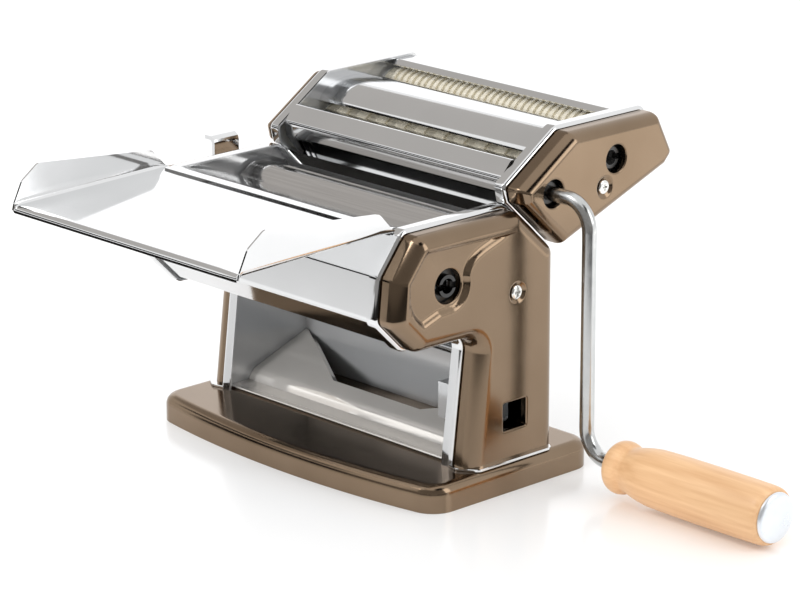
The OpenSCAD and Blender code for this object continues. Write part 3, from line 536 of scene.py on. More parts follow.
def fold_sheet(name: str, body: str, node: str, path: Path, t: float, half: float,
               inner: Optional[Finish] = None) -> None:
    """Builds a bright sheet between the frames.

    Args:
        name: Piece name.
        body: CAD body that carries it.
        node: CAD node that it stands for.
        path: Path of the sheet's outer side in the YZ plane.
        t: Thickness, to the right of the path.
        half: How far the sheet reaches to both sides of the middle.
        inner: Finish of the inner side, if it differs.
    """
    piece = Piece(name, body, CHROME, (node,), inner=inner)
    ring = piece.line(Axis.X_RIGHT.places(path + shifted(path, t)[::-1], -half))
    piece.raise_face(ring, Vector((2 * half * MM, 0, 0)))
    index = {v: i for i, v in enumerate(ring)}
    for f in piece.bm.faces:
        ends = [index[v] for v in f.verts if v in index]
        if inner and len(ends) == 2 and max(ends) > len(path):
            f.material_index = 1
    piece.make()


@dataclass(frozen=True)
class Gauge:
    """Sizes that the body and the cutter unit share."""

    half: float = 77.0
    sheet_t: float = 1.2
    flange_w: float = 6.0
    cover_t: float = 1.2
    cover_step: float = 1.5
    cover_depth: float = 12.0
    cover_bevel: float = 7.2
    head_top: float = 126.0
    slope_start: float = 12.6
    slope_angle: float = 42.8
    screw_hole: float = 2.7

    def inner(self) -> float:
        """Returns how far a sheet between the frames reaches from the middle."""
        return self.half - self.sheet_t - PLAY

    def down(self) -> Point:
        """Returns the way down the slope that the cutter unit slides on."""
        return polar(-self.slope_angle)

    def up(self) -> Point:
        """Returns the way square out of the slope."""
        return polar(90 - self.slope_angle)


@dataclass
class Shell:
    """What a side frame and a cover share, with the outline at a cut from the frame edge."""

    name: str
    body: str
    node: str
    axis: Axis
    gauge: Gauge
    outline: Callable[[float], Path]
    holes: Tuple[Path, ...]

    def rows(self, steps: Sequence[Point]) -> List[List[Vector]]:
        """Returns the outline at each pair of a cut and a height."""
        return [self.axis.places(self.outline(cut), h) for cut, h in steps]


@dataclass
class PressedCover(Shell):
    """A pressed shell over a frame, with turned-in holes and an optional sunk field.

    Attributes:
        depth: How far the face stands out from the frame.
        rise: Height of the rounded edge.
        bevel: Run of the rounded edge over the face.
        screw: Place where the face dips round a screw.
        sunk: Outline of the sunk field, if any.
        sink: Depth of the sunk field.
        soft: Half the width of the sunk field's edge.
        dip: Depth of the dip round the screw.
        lip_depth: How far the edge of a hole is turned in.
    """

    depth: float
    rise: float
    bevel: float
    screw: Point
    sunk: Optional[Path] = None
    sink: float = 2.0
    soft: float = 1.5
    dip: float = 1.2
    lip_depth: float = 3.2

    def lift(self, p: Point) -> float:
        """Returns how far the face stands out or dips at a point."""
        t = max(0.0, min(1.0, (5.6 - math.dist(p, self.screw)) / 2.6))
        h = -self.dip * t * t * (3 - 2 * t)
        if self.sunk:
            t = max(0.0, min(1.0, 0.5 + distance(p, self.sunk) / (2 * self.soft)))
            h -= self.sink * t * t * (3 - 2 * t)
        return h

    def face(self, p: Point) -> float:
        """Returns the height of the face at a point."""
        return self.gauge.half + self.depth + self.lift(p)

    def grid(self, limit: Path, step: float = 0.6) -> List[Point]:
        """Returns points of the face round the screw and the edge of the sunk field."""
        out = [q for k in range(8) for q in circle(self.screw, 3.3 + 0.36 * k, 32)]
        if not self.sunk:
            return out
        ys, zs = [p[0] for p in self.sunk], [p[1] for p in self.sunk]
        for i in range(int((max(ys) - min(ys) + 12) / step)):
            for j in range(int((max(zs) - min(zs) + 12) / step)):
                p = (min(ys) - 6 + i * step, min(zs) - 6 + j * step)
                near = abs(distance(p, self.sunk)) < self.soft + 1.2
                if near and distance(p, limit) > 0.6 and all(distance(p, h) < -0.8 for h in self.holes):
                    out.append(p)
        return out

    def build(self) -> bpy.types.Object:
        """Builds the shell and returns the piece."""
        piece = Piece(self.name, self.body, BRONZE, (self.node,))
        base, step = self.gauge.half, self.gauge.cover_step
        wall = step + self.gauge.cover_t
        _, line = piece.loft(self.rows([(wall, base), (wall, base + 0.9), (step + 0.15, base + 0.9),
                                        (step, base + 1.05)]))
        for cut, h in quarter(self.bevel, self.rise, base + self.depth, 6):
            flat = self.outline(step + cut)
            share = (1 - (base + self.depth - h) / self.rise) ** 6
            line = piece.grow(line, [self.axis.place(p, h + share * self.lift(p)) for p in flat])
        flat = self.outline(step + self.bevel + 0.4)
        line = piece.grow(line, [self.axis.place(p, self.face(p)) for p in flat])
        guard = [q for loop in self.holes for q in inset(loop, -0.5)]
        rings = piece.press(line, flat, self.face, self.axis, self.holes, guard + self.grid(flat))
        for loop, ring in zip(self.holes, rings):
            piece.lip(ring, loop, self.face(loop[0]), self.lip_depth, self.axis)
        return piece.make()


@dataclass
class FlangedFrame(Shell):
    """A side plate with its edge folded inward, and a foot or a guide that extra adds."""

    closed: bool
    extra: Callable[[Piece, Axis], None]
    fold: float = 1.6
    edge: float = 0.3

    def plate(self, piece: Piece, line: Line, h: float) -> List[Line]:
        """Fills a plate at a height and returns the rings of its holes."""
        rings = [piece.line(self.axis.places(hole, h)) for hole in self.holes]
        piece.fill([line] + rings, self.axis.normal())
        return rings

    def build(self) -> bpy.types.Object:
        """Builds the plate and its flange and returns the piece."""
        piece = Piece(self.name, self.body, CHROME, (self.node,), inner=INSIDE)
        self.extra(piece, self.axis)
        half, t = self.gauge.half, self.gauge.sheet_t
        lip = half - self.gauge.flange_w
        rows = [(self.edge, lip), (0.0, lip + self.edge)] + quarter(self.fold, self.fold, half, 15)
        rows.append((self.fold + self.edge, half))
        first, line = piece.loft(self.rows(rows), self.closed)
        outer = self.plate(piece, line, half)
        outside = set(piece.bm.faces)
        line = first
        for row in self.rows([(t, lip), (t, half - t)]):
            line = piece.grow(line, row, self.closed)
        inner = self.plate(piece, line, half - t)
        for f in set(piece.bm.faces) - outside:
            f.material_index = 1
        for a, b in zip(outer, inner):
            bmesh.ops.bridge_loops(piece.bm, edges=piece.edges(a) + piece.edges(b))
        return piece.make()


@dataclass
class CoverScrews:
    """Low domed screws with a cross recess, one in the dip of each of two covers."""

    name: str
    body: str
    node: str
    at: Point
    faces: Dict[Axis, float]
    head: float = 3.2
    flat: float = 2.0
    shank: float = 1.75
    length: float = 5.9
    arm: float = 1.6
    slot: float = 0.42
    recess: float = 0.9
    steps: int = 40

    def profile(self) -> Path:
        """Returns the turned profile as (height, radius) points, from the tip to the flat top."""
        rows = [(-self.length, 0.0), (-self.length, 1.0), (0.5 - self.length, self.shank), (-1.2, self.shank),
                (-1.15, self.head - 0.2), (-0.95, self.head), (-0.6, self.head)]
        for a in range(15, 91, 15):
            s = polar(a)[1]
            rows.append((-0.6 + 0.6 * s, self.head - (self.head - self.flat) * s * s))
        return rows

    def build(self) -> None:
        """Builds the screws of both covers as one piece."""
        piece = Piece(self.name, self.body, SCREW, (self.node,))
        w, arm = self.slot, self.arm
        corner = ((-w, arm), (w, arm), (w, w))
        cross = []
        for _ in range(4):
            cross += [plus(self.at, q) for q in corner]
            corner = tuple((y, -x) for x, y in corner)
        for axis, face in self.faces.items():
            piece.turn([(face + h, r) for h, r in self.profile()], self.at, axis, self.steps)
            rim = [e for e in piece.bm.edges if e.is_boundary]
            hole = piece.line(axis.places(cross, face))
            bmesh.ops.triangle_fill(piece.bm, use_beauty=True, use_dissolve=False, normal=axis.normal(),
                                    edges=rim + piece.edges(hole))
            piece.bm.faces.new(piece.grow(hole, axis.places(cross, face - self.recess)))
        piece.make()


@dataclass
class Body:
    """Side frames, pressed covers, screws and sheets of the machine body."""

    gauge: Gauge
    head_under: float = 71.7
    head_front: float = 65.2
    chin: float = 15.5
    brow: float = 17.5
    foot_front: float = 20.5
    foot_out: float = 14.0
    column_rear: float = 35.0
    column_lean: float = 7.0
    base_h: float = 12.5
    frame_r: float = 4.0
    left_depth: float = 9.6
    screw: Point = (8.8, 89.3)
    drive_axis: Point = (-31.5, 100.0)
    crank_hole: float = 8.45
    gap_axis: Point = (1.518, 103.47)
    gap_hole: float = 14.0
    knob_hole: float = 5.5
    clamp_low: Point = (-0.2, 26.3)
    clamp_high: Point = (15.4, 40.5)
    clamp_r: float = 1.6
    field_curve: Tuple[Point, ...] = ((37, 21), (32.5, 13), (11.5, 15), (9.8, 3))
    scraper_at: Point = (2.388, 103.804)
    scraper_r: float = 18.13

    def outline(self) -> Path:
        """Returns the frame outline with sharp corners."""
        g = self.gauge
        lean = math.tan(math.radians(self.column_lean))
        fall = math.tan(math.radians(g.slope_angle))
        return [
            (-self.foot_front, self.base_h),
            (-self.foot_front + (self.head_under - self.base_h) * lean, self.head_under),
            (-self.head_front + self.chin, self.head_under),
            (-self.head_front, self.head_under + self.chin),
            (-self.head_front + 2.2, g.head_top - self.brow),
            (-self.head_front + 16.2, g.head_top),
            (g.slope_start, g.head_top),
            (self.column_rear, g.head_top - (self.column_rear - g.slope_start) * fall),
            (self.column_rear, self.base_h),
        ]

    def cut_outline(self, foot: float, cut: float) -> Path:
        """Returns the rounded outline moved in by a cut, with its foot at a height."""
        q = inset(self.outline(), cut)
        for i, k in ((0, 1), (8, 7)):
            q[i] = between(q[i], q[k], (foot - q[i][1]) / (q[k][1] - q[i][1]))
        radii = [0.0, 6.0 + cut] + [max(self.frame_r + 1.5 - 0.35 * cut, 1.2)] * 6 + [0.0]
        return rounded(q, radii)

    def foot_tab(self, piece: Piece, axis: Axis) -> None:
        """Adds the foot that a side frame turns out over the base."""
        t = self.gauge.sheet_t
        x, f, b = self.gauge.half, -self.foot_front, self.column_rear
        out = x + self.foot_out
        tab = [(x - t, b), (out, b - 5), (out, f + 4.5), (x + 5, f - 1.5), (x - t, f)]
        tab = rounded(tab, [0, 5, 4, 4, 0])
        if axis is Axis.X_LEFT:
            tab = [(-q[0], q[1]) for q in tab][::-1]
        piece.slab(tab, self.base_h, self.base_h + t, Axis.Z_UP)

    def sunk_field(self) -> Path:
        """Returns the outline of the sunk field round the crank hole."""
        a = self.drive_axis
        path = [plus(plus(a, (-6, 1)), polar(236 - 138 * i / 30), 18) for i in range(31)]
        path += [plus(a, p) for p in bezier(self.field_curve, 20)]
        return path + [plus(a, polar(10 - 90 * i / 10), 10.2) for i in range(11)] + [plus(a, (-6.5, -10.7))]

    def shells(self) -> None:
        """Builds the frames, the covers and the cover screws."""
        g, (y0, z0), (y1, z1) = self.gauge, self.clamp_low, self.clamp_high
        clamp = rounded([(y0, z0), (y0, z1), (y1, z1), (y1, z0)], [self.clamp_r] * 4)
        frame_holes = {Axis.X_RIGHT: (clamp, circle(self.gap_axis, self.gap_hole)), Axis.X_LEFT: ()}
        cover_holes = {Axis.X_RIGHT: (circle(self.drive_axis, self.crank_hole), clamp),
                       Axis.X_LEFT: (circle(self.gap_axis, self.knob_hole),)}
        depth = {Axis.X_RIGHT: g.cover_depth, Axis.X_LEFT: self.left_depth}
        frame_outline = partial(self.cut_outline, self.base_h)
        cover_outline = partial(self.cut_outline, self.base_h + g.sheet_t)
        for axis, side in SIDES:
            FlangedFrame(f"body_frame_{side}", "chassis", f"{side}_frame", axis, g, frame_outline,
                         frame_holes[axis], False, self.foot_tab).build()
            holes = (circle(self.screw, g.screw_hole),) + cover_holes[axis]
            PressedCover(f"body_cover_{side}", "chassis", f"{side}_cover", axis, g, cover_outline, holes,
                         depth[axis], g.cover_bevel, g.cover_bevel, self.screw,
                         self.sunk_field() if axis is Axis.X_RIGHT else None).build()
        CoverScrews("body_cover_screws", "chassis", "cover_screws", self.screw,
                    {axis: g.half + d for axis, d in depth.items()}).build()

    def sheets(self) -> None:
        """Builds the front fairing and the rear panel between the frames."""
        g = self.gauge
        skin = inset(self.outline(), g.sheet_t + PLAY)
        path = [between(skin[2], skin[3], 0.15), skin[3], skin[4], between(skin[4], skin[5], 0.955)]
        path = bent(path, self.frame_r)
        fold_sheet("front_fairing_sheet", "chassis", "front_fairing", path, g.sheet_t, g.inner())
        path = [plus(skin[6], g.down(), 1.5), skin[7], (skin[8][0], self.base_h + PLAY)]
        path = [plus(self.scraper_at, polar(60), self.scraper_r)] + bent(path, self.frame_r)
        fold_sheet("rear_sheet", "chassis", "rear_panel", path, g.sheet_t, g.inner(), INSIDE)

    def build(self) -> None:
        """Builds every piece of the body."""
        self.shells()
        self.sheets()


@dataclass
class Cutter:
    """Frames, pressed covers, screws and sheets of the cutter unit."""

    gauge: Gauge
    rail_gap: float = 0.3
    rise: float = 29.6
    top: float = 57.0
    bevel: float = 4.6
    left_depth: float = 6.0
    sheet_t: float = 0.8
    socket_hole: float = 7.1
    screw: Point = (63.2, 126.6)
    wide: Point = (31.0, 129.5)
    narrow: Point = (70.5, 138.3)
    radii: Tuple[float, ...] = (2.0, 3.0, 6.0, 4.0, 4.0, 4.0, 2.0)
    front_path: Tuple[Point, ...] = ((-6, -10.5), (-13.8, -0.5), (-15.2, 6.5), (-8.5, 13.9), (6.2, 9.9))
    hood_curves: Tuple[Tuple[Tuple[Point, ...], int], ...] = (
        (((11.2, 11.5), (13.5, 18), (23, 20), (31, 20.2)), 24),
        (((37, 20.2), (41, 20), (44, 19.2), (46.5, 17.2)), 14),
    )
    tail_r: float = 18.9

    def outline(self) -> Path:
        """Returns the cutter frame outline with sharp corners."""
        start = (self.gauge.slope_start, self.gauge.head_top)
        rail = plus(start, self.gauge.up(), self.rail_gap)
        c = plus(start, (31, self.rise))
        d = plus(c, (self.top, 0))
        return [plus(rail, self.gauge.down(), 0.5), plus(start, (-1.3, 8.2)), c, d, plus(d, (11, -21.3)),
                plus(d, (4.5, -28.2)), plus(rail, self.gauge.down(), 35)]

    def cut_outline(self, cut: float) -> Path:
        """Returns the rounded outline moved in by a cut."""
        return rounded(inset(self.outline(), cut), [max(r - 0.5 * cut, 1.0) for r in self.radii])

    def guide_web(self, piece: Piece, axis: Axis) -> None:
        """Adds the guide that slides down inside the slope of the body."""
        g = self.gauge
        web = plus((g.slope_start, g.head_top), g.up(), self.rail_gap + g.sheet_t)
        far, near = plus(web, g.down(), 32), plus(web, g.down(), 6)
        x = g.half - g.flange_w
        for drop, end in ((-2.4, x - 0.3), (-1.2, x + 0.02)):
            strip = [near, far, plus(far, g.up(), drop), plus(near, g.up(), drop)]
            piece.slab(strip, x - 1.5, end, axis, 0.2)

    def shells(self) -> None:
        """Builds the frames, the covers and the cover screws."""
        g = self.gauge
        sockets = (circle(self.wide, self.socket_hole), circle(self.narrow, self.socket_hole))
        depth = {Axis.X_RIGHT: g.cover_depth, Axis.X_LEFT: self.left_depth}
        for axis, side in SIDES:
            FlangedFrame(f"cutter_frame_{side}", "cutter", f"cutter_{side}_frame", axis, g, self.cut_outline,
                         (), True, self.guide_web).build()
            holes = (circle(self.screw, g.screw_hole),) + (sockets if axis is Axis.X_RIGHT else ())
            rise = min(g.cover_bevel, depth[axis] - g.cover_t)
            PressedCover(f"cutter_cover_{side}", "cutter", f"cutter_{side}_cover", axis, g, self.cut_outline,
                         holes, depth[axis], rise, self.bevel, self.screw).build()
        CoverScrews("cutter_screws", "cutter", "cutter_cover_screws", self.screw,
                    {axis: g.half + d for axis, d in depth.items()}).build()

    def sheets(self) -> None:
        """Builds the front guide, the middle hood and the rear guide."""
        g, t = self.gauge, self.sheet_t
        path = bent([plus(self.wide, p) for p in self.front_path], 3.2)
        fold_sheet("cutter_front_guide", "cutter", "cutter_front_sheet", path, t, g.half - g.flange_w - PLAY)
        path = [plus(self.wide, p) for curve, n in self.hood_curves for p in bezier(curve, n)]
        fold_sheet("cutter_middle_hood", "cutter", "cutter_hood", path, t, g.inner())
        skin = inset(self.outline(), g.sheet_t + PLAY)
        start = (self.narrow[0] + self.tail_r * polar(8)[0] - 1.5, skin[3][1])
        path = [plus(start, (-3.1, -1.9)), start, skin[3], between(skin[3], skin[4], 0.88)]
        fold_sheet("cutter_rear_guide", "cutter", "cutter_rear_sheet", bent(path, 3), t, g.inner())

    def build(self) -> None:
        """Builds every piece of the cutter unit that isn't turned."""
        self.shells()
        self.sheets()


@dataclass
class BasePan:
    """Pressed base pan with a bowed front and a rolled rim."""

    half: float = 93.2
    rear: float = 55.0
    front: float = 54.0
    bow: float = 9.0
    height: float = 12.5
    rim: float = 5.0
    corner: float = 12.0
    wall: float = 1.2
    steps: int = 40

    def outline(self, cut: float) -> Path:
        """Returns the pan outline moved in by a cut."""
        r = (self.half ** 2 + self.bow ** 2) / (2 * self.bow)
        reach = math.degrees(math.asin(self.half / r))
        points, radii, n = [(-self.half, self.rear), (self.half, self.rear)], [self.corner] * 2, self.steps
        for i in [0] + list(range(4, n - 3)) + [n]:
            points.append(plus((0, r - self.front), polar(270 + reach * (1 - 2 * i / n)), r))
            radii.append(self.corner if i in (0, n) else 0.0)
        return rounded(inset(points, cut), [max(q - cut, 1) if q else 0 for q in radii], 12)

    def build(self) -> None:
        """Builds the pan."""
        piece = Piece("base_pan_shell", "chassis", BRONZE, ("base_pan",))
        rows = [(self.wall, 1.0), (self.wall, 0.0), (0.0, 0.0)] + quarter(self.rim, self.rim, self.height, 6)
        rows.append((self.rim + 0.5, self.height))
        _, last = piece.loft([Axis.Z_UP.places(self.outline(cut), h) for cut, h in rows])
        piece.fill([last], Axis.Z_UP.normal())
        piece.make()


@dataclass
class Tray:
    """Loose feed tray with a rolled front edge and folded sides."""

    tip: Point = (-140.0, 124.2)
    back: Point = (-52.0, 126.4)
    tongue: Point = (-20.5, 117.6)
    half: float = 75.5
    tongue_half: float = 70.6
    t: float = 0.9
    roll: float = 3.0
    fold: float = 1.8
    side: float = 17.0

    def floor_z(self, y: float) -> float:
        """Returns the height of the floor's upper face at a place along the tray."""
        run = y - self.tip[0]
        z = self.tip[1] + (self.back[1] - self.tip[1]) * run / (self.back[0] - self.tip[0])
        if run < self.roll:
            z -= self.roll - math.sqrt(max(self.roll ** 2 - (self.roll - run) ** 2, 0.0))
        return z

    def edge(self) -> Path:
        """Returns the upper edge of a side as (y, z) points."""
        (a, z), (b, w) = self.tip, self.back
        path = [(a + 0.8, z + 1.0), (a + 5.5, z + 0.62 * self.side), (a + 14.5, z + self.side),
                (b - 9, w + 9), (b - 1.2, w + 0.6)]
        return [(a, z - 2.0)] + bent(path, 4.0, 6) + [(b, w + 0.4)]

    def section(self, y: float, top: float) -> List[Vector]:
        """Returns the cross-section at a place along the tray, up one side and down the other."""
        z, wall = self.floor_z(y), self.half - self.t
        r = min(self.fold, max(top - z, 0.05))
        row = [(wall, z + r + max(top - z - r, 0.02) * k / 4) for k in (4, 3, 2, 1)]
        for a in (0, 22.5, 45, 67.5, 90):
            c, s = polar(a)
            row.append((wall - r * (1 - c), z + r - r * s))
        row += [((wall - r) * (1 - k / 6), z) for k in range(1, 7)]
        return [Axis.X_RIGHT.place((y, h), x) for x, h in row + [(-x, h) for x, h in row[-2::-1]]]

    def build(self) -> None:
        """Builds the tray and its tongue as one folded sheet."""
        piece = Piece("tray_sheet", "tray", CHROME, ("feed_tray",))
        edge = self.edge()
        roll = [self.tip[0] + self.roll * (1 - polar(a)[0]) for a in range(15, 91, 15)]
        rows = []
        for y in sorted(set([round(p[0], 3) for p in edge] + roll)):
            k = max(i for i in range(len(edge) - 1) if edge[i][0] <= y + 1e-3)
            a, b = edge[k], edge[k + 1]
            t = 0.0 if b[0] - a[0] < 1e-6 else max(0.0, min(1.0, (y - a[0]) / (b[0] - a[0])))
            rows.append(self.section(y, between(a, b, t)[1]))
        piece.loft(rows, False)
        path = bent([plus(self.back, (-5.0, -0.12)), self.back, self.tongue], 5.0)
        stops = (-self.tongue_half, 0, self.tongue_half)
        piece.loft([[Axis.X_RIGHT.place(plus(p, (0, -0.02)), x) for x in stops] for p in path], False)
        piece.thicken(self.t)
        piece.make()


@dataclass
class Chute:
    """Sheet that the dough leaves on, with a lipped notch, a curved front and a hemmed apron."""

    half: float = 75.6
    slope: float = 20.4
    rear: float = 32.0
    notch: float = 7.15
    flat: float = 29.0
    wing: float = 73.7
    lip: float = 2.2
    t: float = 0.9

    def height(self, y: float) -> float:
        """Returns the height of the straight slope."""
        return 15.5 + (y + 8.5) * math.tan(math.radians(self.slope))

    def front(self) -> Path:
        """Returns the profile from the notch down to the hem."""
        path = [(y, self.height(y)) for y in (self.notch, 4.0, 0.6)]
        path += bezier((path[-1], (-0.9, self.height(-0.9)), (-1.9, 17.4), (-2.7, 16.3)), 10)[1:]
        path += bezier(((-4.4, 13.95), (-4.6, 13.68), (-4.9, 13.66), (-5.5, 13.66)), 5)
        return path + [(-15.2, 13.45), (-15.8, 13.75), (-16.3, 13.75), (-16.6, 13.4)]

    def edge(self, y: float) -> float:
        """Returns how far from the middle the notch reaches at a place along the slope."""
        return self.flat + (self.wing - self.flat) * (y - self.notch) / (self.rear - self.notch)

    def on_slope(self, x: float, y: float, drop: float = 0.0) -> Vector:
        """Returns a place on the straight slope, or below it by a drop."""
        return Axis.X_RIGHT.place((y, self.height(y) - drop), x)

    def build(self) -> None:
        """Builds the chute as one folded sheet."""
        piece = Piece("chute_sheet", "chassis", CHUTE, ("chute",))
        stops = (-self.half, -self.flat, 0.0, self.flat, self.half)
        head, _ = piece.loft([[Axis.X_RIGHT.place(p, x) for x in stops] for p in self.front()], False)
        bend = [self.on_slope(x, self.notch + 2.0, self.lip) for x in (1.0 - self.flat, 0.0, self.flat - 1.0)]
        lip = piece.grow(head[1:4], bend, False)
        for side, line in ((-1, [head[0], head[1], lip[0]]), (1, [head[4], head[3], lip[2]])):
            for k in range(1, 7):
                y = self.notch + (self.rear - self.notch) * k / 6
                e = self.edge(y)
                row = [self.on_slope(side * self.half, y), self.on_slope(side * e, y),
                       self.on_slope(side * (e - 1.1), min(y + 1.9, self.rear), self.lip)]
                line = piece.grow(line, row, False)
        piece.thicken(self.t)
        piece.make()


@dataclass
class Crank:
    """Turned wooden grip and metal end cap of the crank."""

    axis: Point = (31.0, 14.3)
    start: float = 128.4
    length: float = 91.0
    r: float = 13.4
    bore: float = 3.4
    cap_r: float = 11.2
    cap_rise: float = 1.8
    steps: int = 64

    def grip(self) -> Path:
        """Returns the grip's profile as (x, radius) points."""
        r = self.r
        curves = ((((8.0, 0.0), (12.6, 0.2), (12.8, 6.5), (10.6, 9.2)), 18),
                  (((10.3, 9.9), (10.4, 12.6), (r - 1.6, 14), (r - 0.5, 24)), 14),
                  (((r - 0.3, 30), (r, 45), (r, 65), (r - 0.2, 85)), 12),
                  (((r - 0.3, 87), (r - 0.4, 90), (r - 1.2, 91), (r - 2.4, 91)), 8))
        rows = [(self.bore, 2.0), (self.bore + 0.6, 0.0)]
        rows += [p for curve, n in curves for p in bezier(curve, n)] + [(4.0, self.length)]
        return [(self.start + h, q) for q, h in rows]

    def cap(self) -> Path:
        """Returns the cap's profile as (x, radius) points, from pole to pole."""
        c = self.cap_r
        rows = [(-0.2, 0.0), (-0.2, c - 0.3), (0.5, c), (1.2, c - 0.15)]
        for a in range(6, 90, 6):
            rows.append((1.2 + self.cap_rise * polar(a)[1], (c - 0.2) * polar(a)[0]))
        rows.append((1.2 + self.cap_rise, 0.0))
        return [(self.start + self.length + h, q) for h, q in rows]

    def build(self) -> None:
        """Builds the grip and its cap."""
        grip = Piece("grip_wood", "grip", WOOD, ("crank_grip",))
        grip.turn(self.grip(), self.axis, Axis.X_RIGHT, self.steps, True)
        grip.make()
        cap = Piece("grip_end_cap", "grip", CAP, ("grip_cap",))
        cap.turn(self.cap(), self.axis, Axis.X_RIGHT, self.steps)
        cap.make()


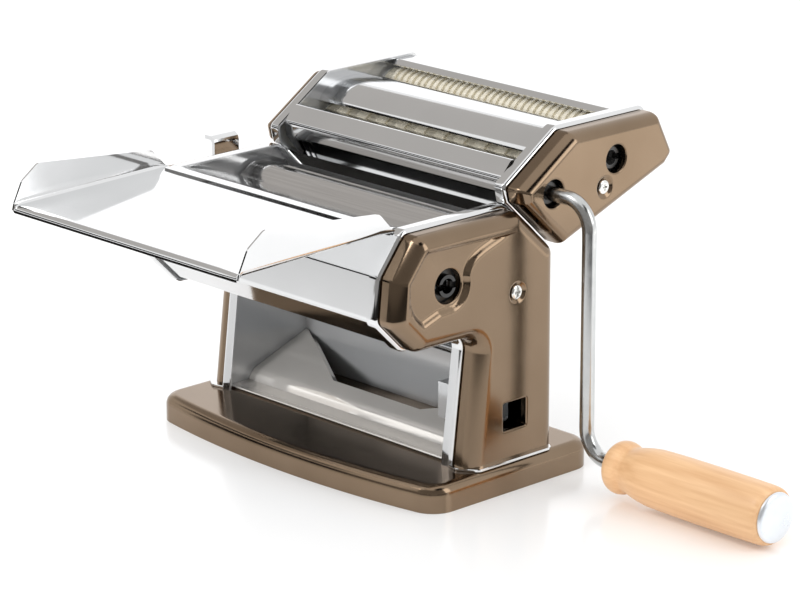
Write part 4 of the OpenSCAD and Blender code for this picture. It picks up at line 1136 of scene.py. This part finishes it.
@dataclass
class Studio:
    """Floor, lights, reflection cards and camera."""

    lens: float = 159.86
    sensor: float = 36.0
    camera_at: Place = (1129.9, -1047.4, 537.6)
    target: Place = (0.0, 22.34, 63.47)
    roll: float = -0.114
    light_target: Place = (0.0, 0.0, 0.08)
    card_steps: int = 16

    @staticmethod
    def aimed(at: Vector, to: Vector) -> Matrix:
        """Returns the place and turn of something at one place that points at another."""
        return Matrix.Translation(at) @ (to - at).to_track_quat("-Z", "Y").to_matrix().to_4x4()

    @staticmethod
    def add(name: str, data: bpy.types.ID) -> bpy.types.Object:
        """Returns a new object in the scene."""
        obj = bpy.data.objects.new(name, data)
        bpy.context.scene.collection.objects.link(obj)
        return obj

    def camera(self) -> None:
        """Sets the camera at the photograph's angle."""
        data = bpy.data.cameras.new("camera")
        data.lens = self.lens
        data.sensor_width = self.sensor
        data.sensor_fit = "HORIZONTAL"
        data.clip_end = 50.0
        obj = self.add("camera", data)
        aim = self.aimed(Vector(self.camera_at) * MM, Vector(self.target) * MM)
        obj.matrix_world = aim @ Matrix.Rotation(math.radians(self.roll), 4, "Z")
        bpy.context.scene.camera = obj

    def light(self, name: str, at: Place, size: Point, power: float) -> None:
        """Adds one soft light that points at the machine."""
        data = bpy.data.lights.new(name, "AREA")
        data.shape = "RECTANGLE"
        data.size, data.size_y = size
        data.energy = power
        self.add(name, data).matrix_world = self.aimed(Vector(at), Vector(self.light_target))

    def spot(self, name: str, at: Place, to: Place, cone: float, power: float) -> None:
        """Adds a soft spot light that reflections don't see.

        Args:
            name: Light name.
            at: Place in metres.
            to: Place it is aimed at, in metres.
            cone: Full angle of the cone in degrees.
            power: Power in watts.
        """
        data = bpy.data.lights.new(name, "SPOT")
        data.energy = power
        data.spot_size = math.radians(cone)
        data.spot_blend = 0.7
        data.shadow_soft_size = 0.12
        obj = self.add(name, data)
        obj.matrix_world = self.aimed(Vector(at), Vector(to))
        obj.visible_glossy = False

    def prop(self, name: str, bm: bmesh.types.BMesh, values: Dict[str, object]) -> bpy.types.Object:
        """Turns a mesh into an object of the stage.

        Args:
            name: Object name.
            bm: The mesh, which is freed.
            values: Shader inputs and their values.

        Returns:
            The new object.
        """
        mesh = bpy.data.meshes.new(name)
        bm.to_mesh(mesh)
        bm.free()
        obj = self.add(name, mesh)
        mat = bpy.data.materials.new(name)
        mat.use_nodes = True
        for key, value in values.items():
            mat.node_tree.nodes["Principled BSDF"].inputs[key].default_value = value
        mesh.materials.append(mat)
        return obj

    def card(self, name: str, low: Point, high: Point, span: Point, glow: Place) -> None:
        """Adds a curved card that only reflections see.

        Args:
            name: Card name.
            low: Radius and height of one edge, in metres.
            high: Radius and height of the other edge, in metres.
            span: First and last angle about the machine, in degrees.
            glow: Brightness of the card.
        """
        bm = bmesh.new()
        c, s = polar(span[0])
        ends = [bm.verts.new((r * c, r * s, z)) for r, z in (low, high)]
        bmesh.ops.spin(bm, geom=ends + [bm.edges.new(ends)], cent=(0, 0, 0), axis=(0, 0, 1), dvec=(0, 0, 0),
                       angle=math.radians(span[1] - span[0]), steps=self.card_steps, use_merge=False)
        obj = self.prop(name, bm, {"Base Color": (0, 0, 0, 1), "Specular IOR Level": 0.0,
                                   "Emission Color": (*glow, 1), "Emission Strength": 1.0})
        obj.visible_camera = False
        obj.visible_shadow = False
        obj.visible_diffuse = False

    def floor(self) -> None:
        """Adds the pale floor."""
        bm = bmesh.new()
        bmesh.ops.create_grid(bm, x_segments=1, y_segments=1, size=6.0)
        self.prop("floor", bm, {"Base Color": (0.95, 0.95, 0.95, 1), "Roughness": 0.18,
                                "Emission Color": (1, 1, 1, 1), "Emission Strength": 0.10})

    def world(self) -> None:
        """Sets the pale surroundings."""
        world = bpy.data.worlds.new("studio")
        world.use_nodes = True
        world.node_tree.nodes["Background"].inputs["Color"].default_value = (1, 1, 1, 1)
        world.node_tree.nodes["Background"].inputs["Strength"].default_value = 1.0
        bpy.context.scene.world = world
        bpy.context.scene.view_settings.view_transform = "Standard"

    def cards(self) -> None:
        """Adds the cards that shape the reflections in the metal."""
        self.card("wall_front", (1.3, 0.0), (1.3, 0.33), (-122, -150), BLACK)
        self.card("wall_low", (1.3, 0.0), (1.3, 0.33), (12, -122), (0.24, 0.23, 0.22))
        self.card("floor_near", (0.38, 0.002), (0.72, 0.002), (5, -118), BLACK)
        self.card("floor_far", (0.72, 0.002), (1.3, 0.002), (12, -122), (0.30, 0.29, 0.28))
        self.card("wall_camera", (1.2, 0.32), (1.2, 1.6), (8, -110), (0.30, 0.29, 0.28))
        self.card("card_right", (0.75, 0.8), (0.55, 1.25), (-30, 20), BLACK)
        self.card("card_left", (1.2, 0.75), (0.6, 1.5), (130, 215), (0.50, 0.48, 0.46))
        self.card("stripe_left", (1.2, 0.42), (1.2, 0.62), (-160, -125), BLACK)
        self.card("floor_right", (0.50, 0.002), (0.95, 0.002), (20, 70), (1.7, 1.68, 1.65))
        self.card("wall_rear", (1.4, 0.08), (1.4, 0.75), (105, 165), (1.3, 1.3, 1.31))

    def build(self) -> None:
        """Builds the whole studio."""
        self.camera()
        self.floor()
        self.world()
        self.light("key", (-0.6, -1.2, 1.6), (0.7, 0.5), 7.0)
        self.light("fill", (1.5, 0.6, 1.0), (0.8, 1.2), 5.0)
        self.spot("under_head", (0.0, -0.95, 0.30), (0.0, 0.0, 0.035), 13.0, 48.0)
        self.cards()


def dress_cad(nodes: Dict[str, bpy.types.Object], slots: Dict[str, str]) -> None:
    """Gives every CAD node a procedural finish.

    Args:
        nodes: CAD objects by node.
        slots: Material slot of each node.
    """
    special = {"drive_roller": ROLLER, "adjust_roller": ROLLER, "crank_rod": ROD, "bearing_bridge": DARK_STEEL,
               "clamp_socket": INSIDE}
    special.update({name: COMB for name in slots if name.endswith("_cutter")})
    # The combs take the dark steel as painted shade between the cutter rings.
    special.update({name: DARK_STEEL for name in slots if name.endswith(("_gear", "_combs"))})
    for name, obj in nodes.items():
        finish = special.get(name, SLOT_FINISH[slots[name]])
        obj.data.materials.clear()
        obj.data.materials.append(finish.material())
        LOG.info("node %s is %s", name, finish.name)


def main() -> None:
    """Dresses the CAD nodes and builds every piece and the studio."""
    logging.basicConfig(level=logging.INFO, format="%(name)s: %(message)s")
    slots = {s["node"]: s["material_slot"] for s in frame["record"]["subparts"]}
    dress_cad(frame["nodes"], slots)
    gauge = Gauge()
    for part in (Body(gauge), Cutter(gauge), BasePan(), Tray(), Chute(), Crank(), Studio()):
        part.build()


if __name__ == "__main__":
    main()
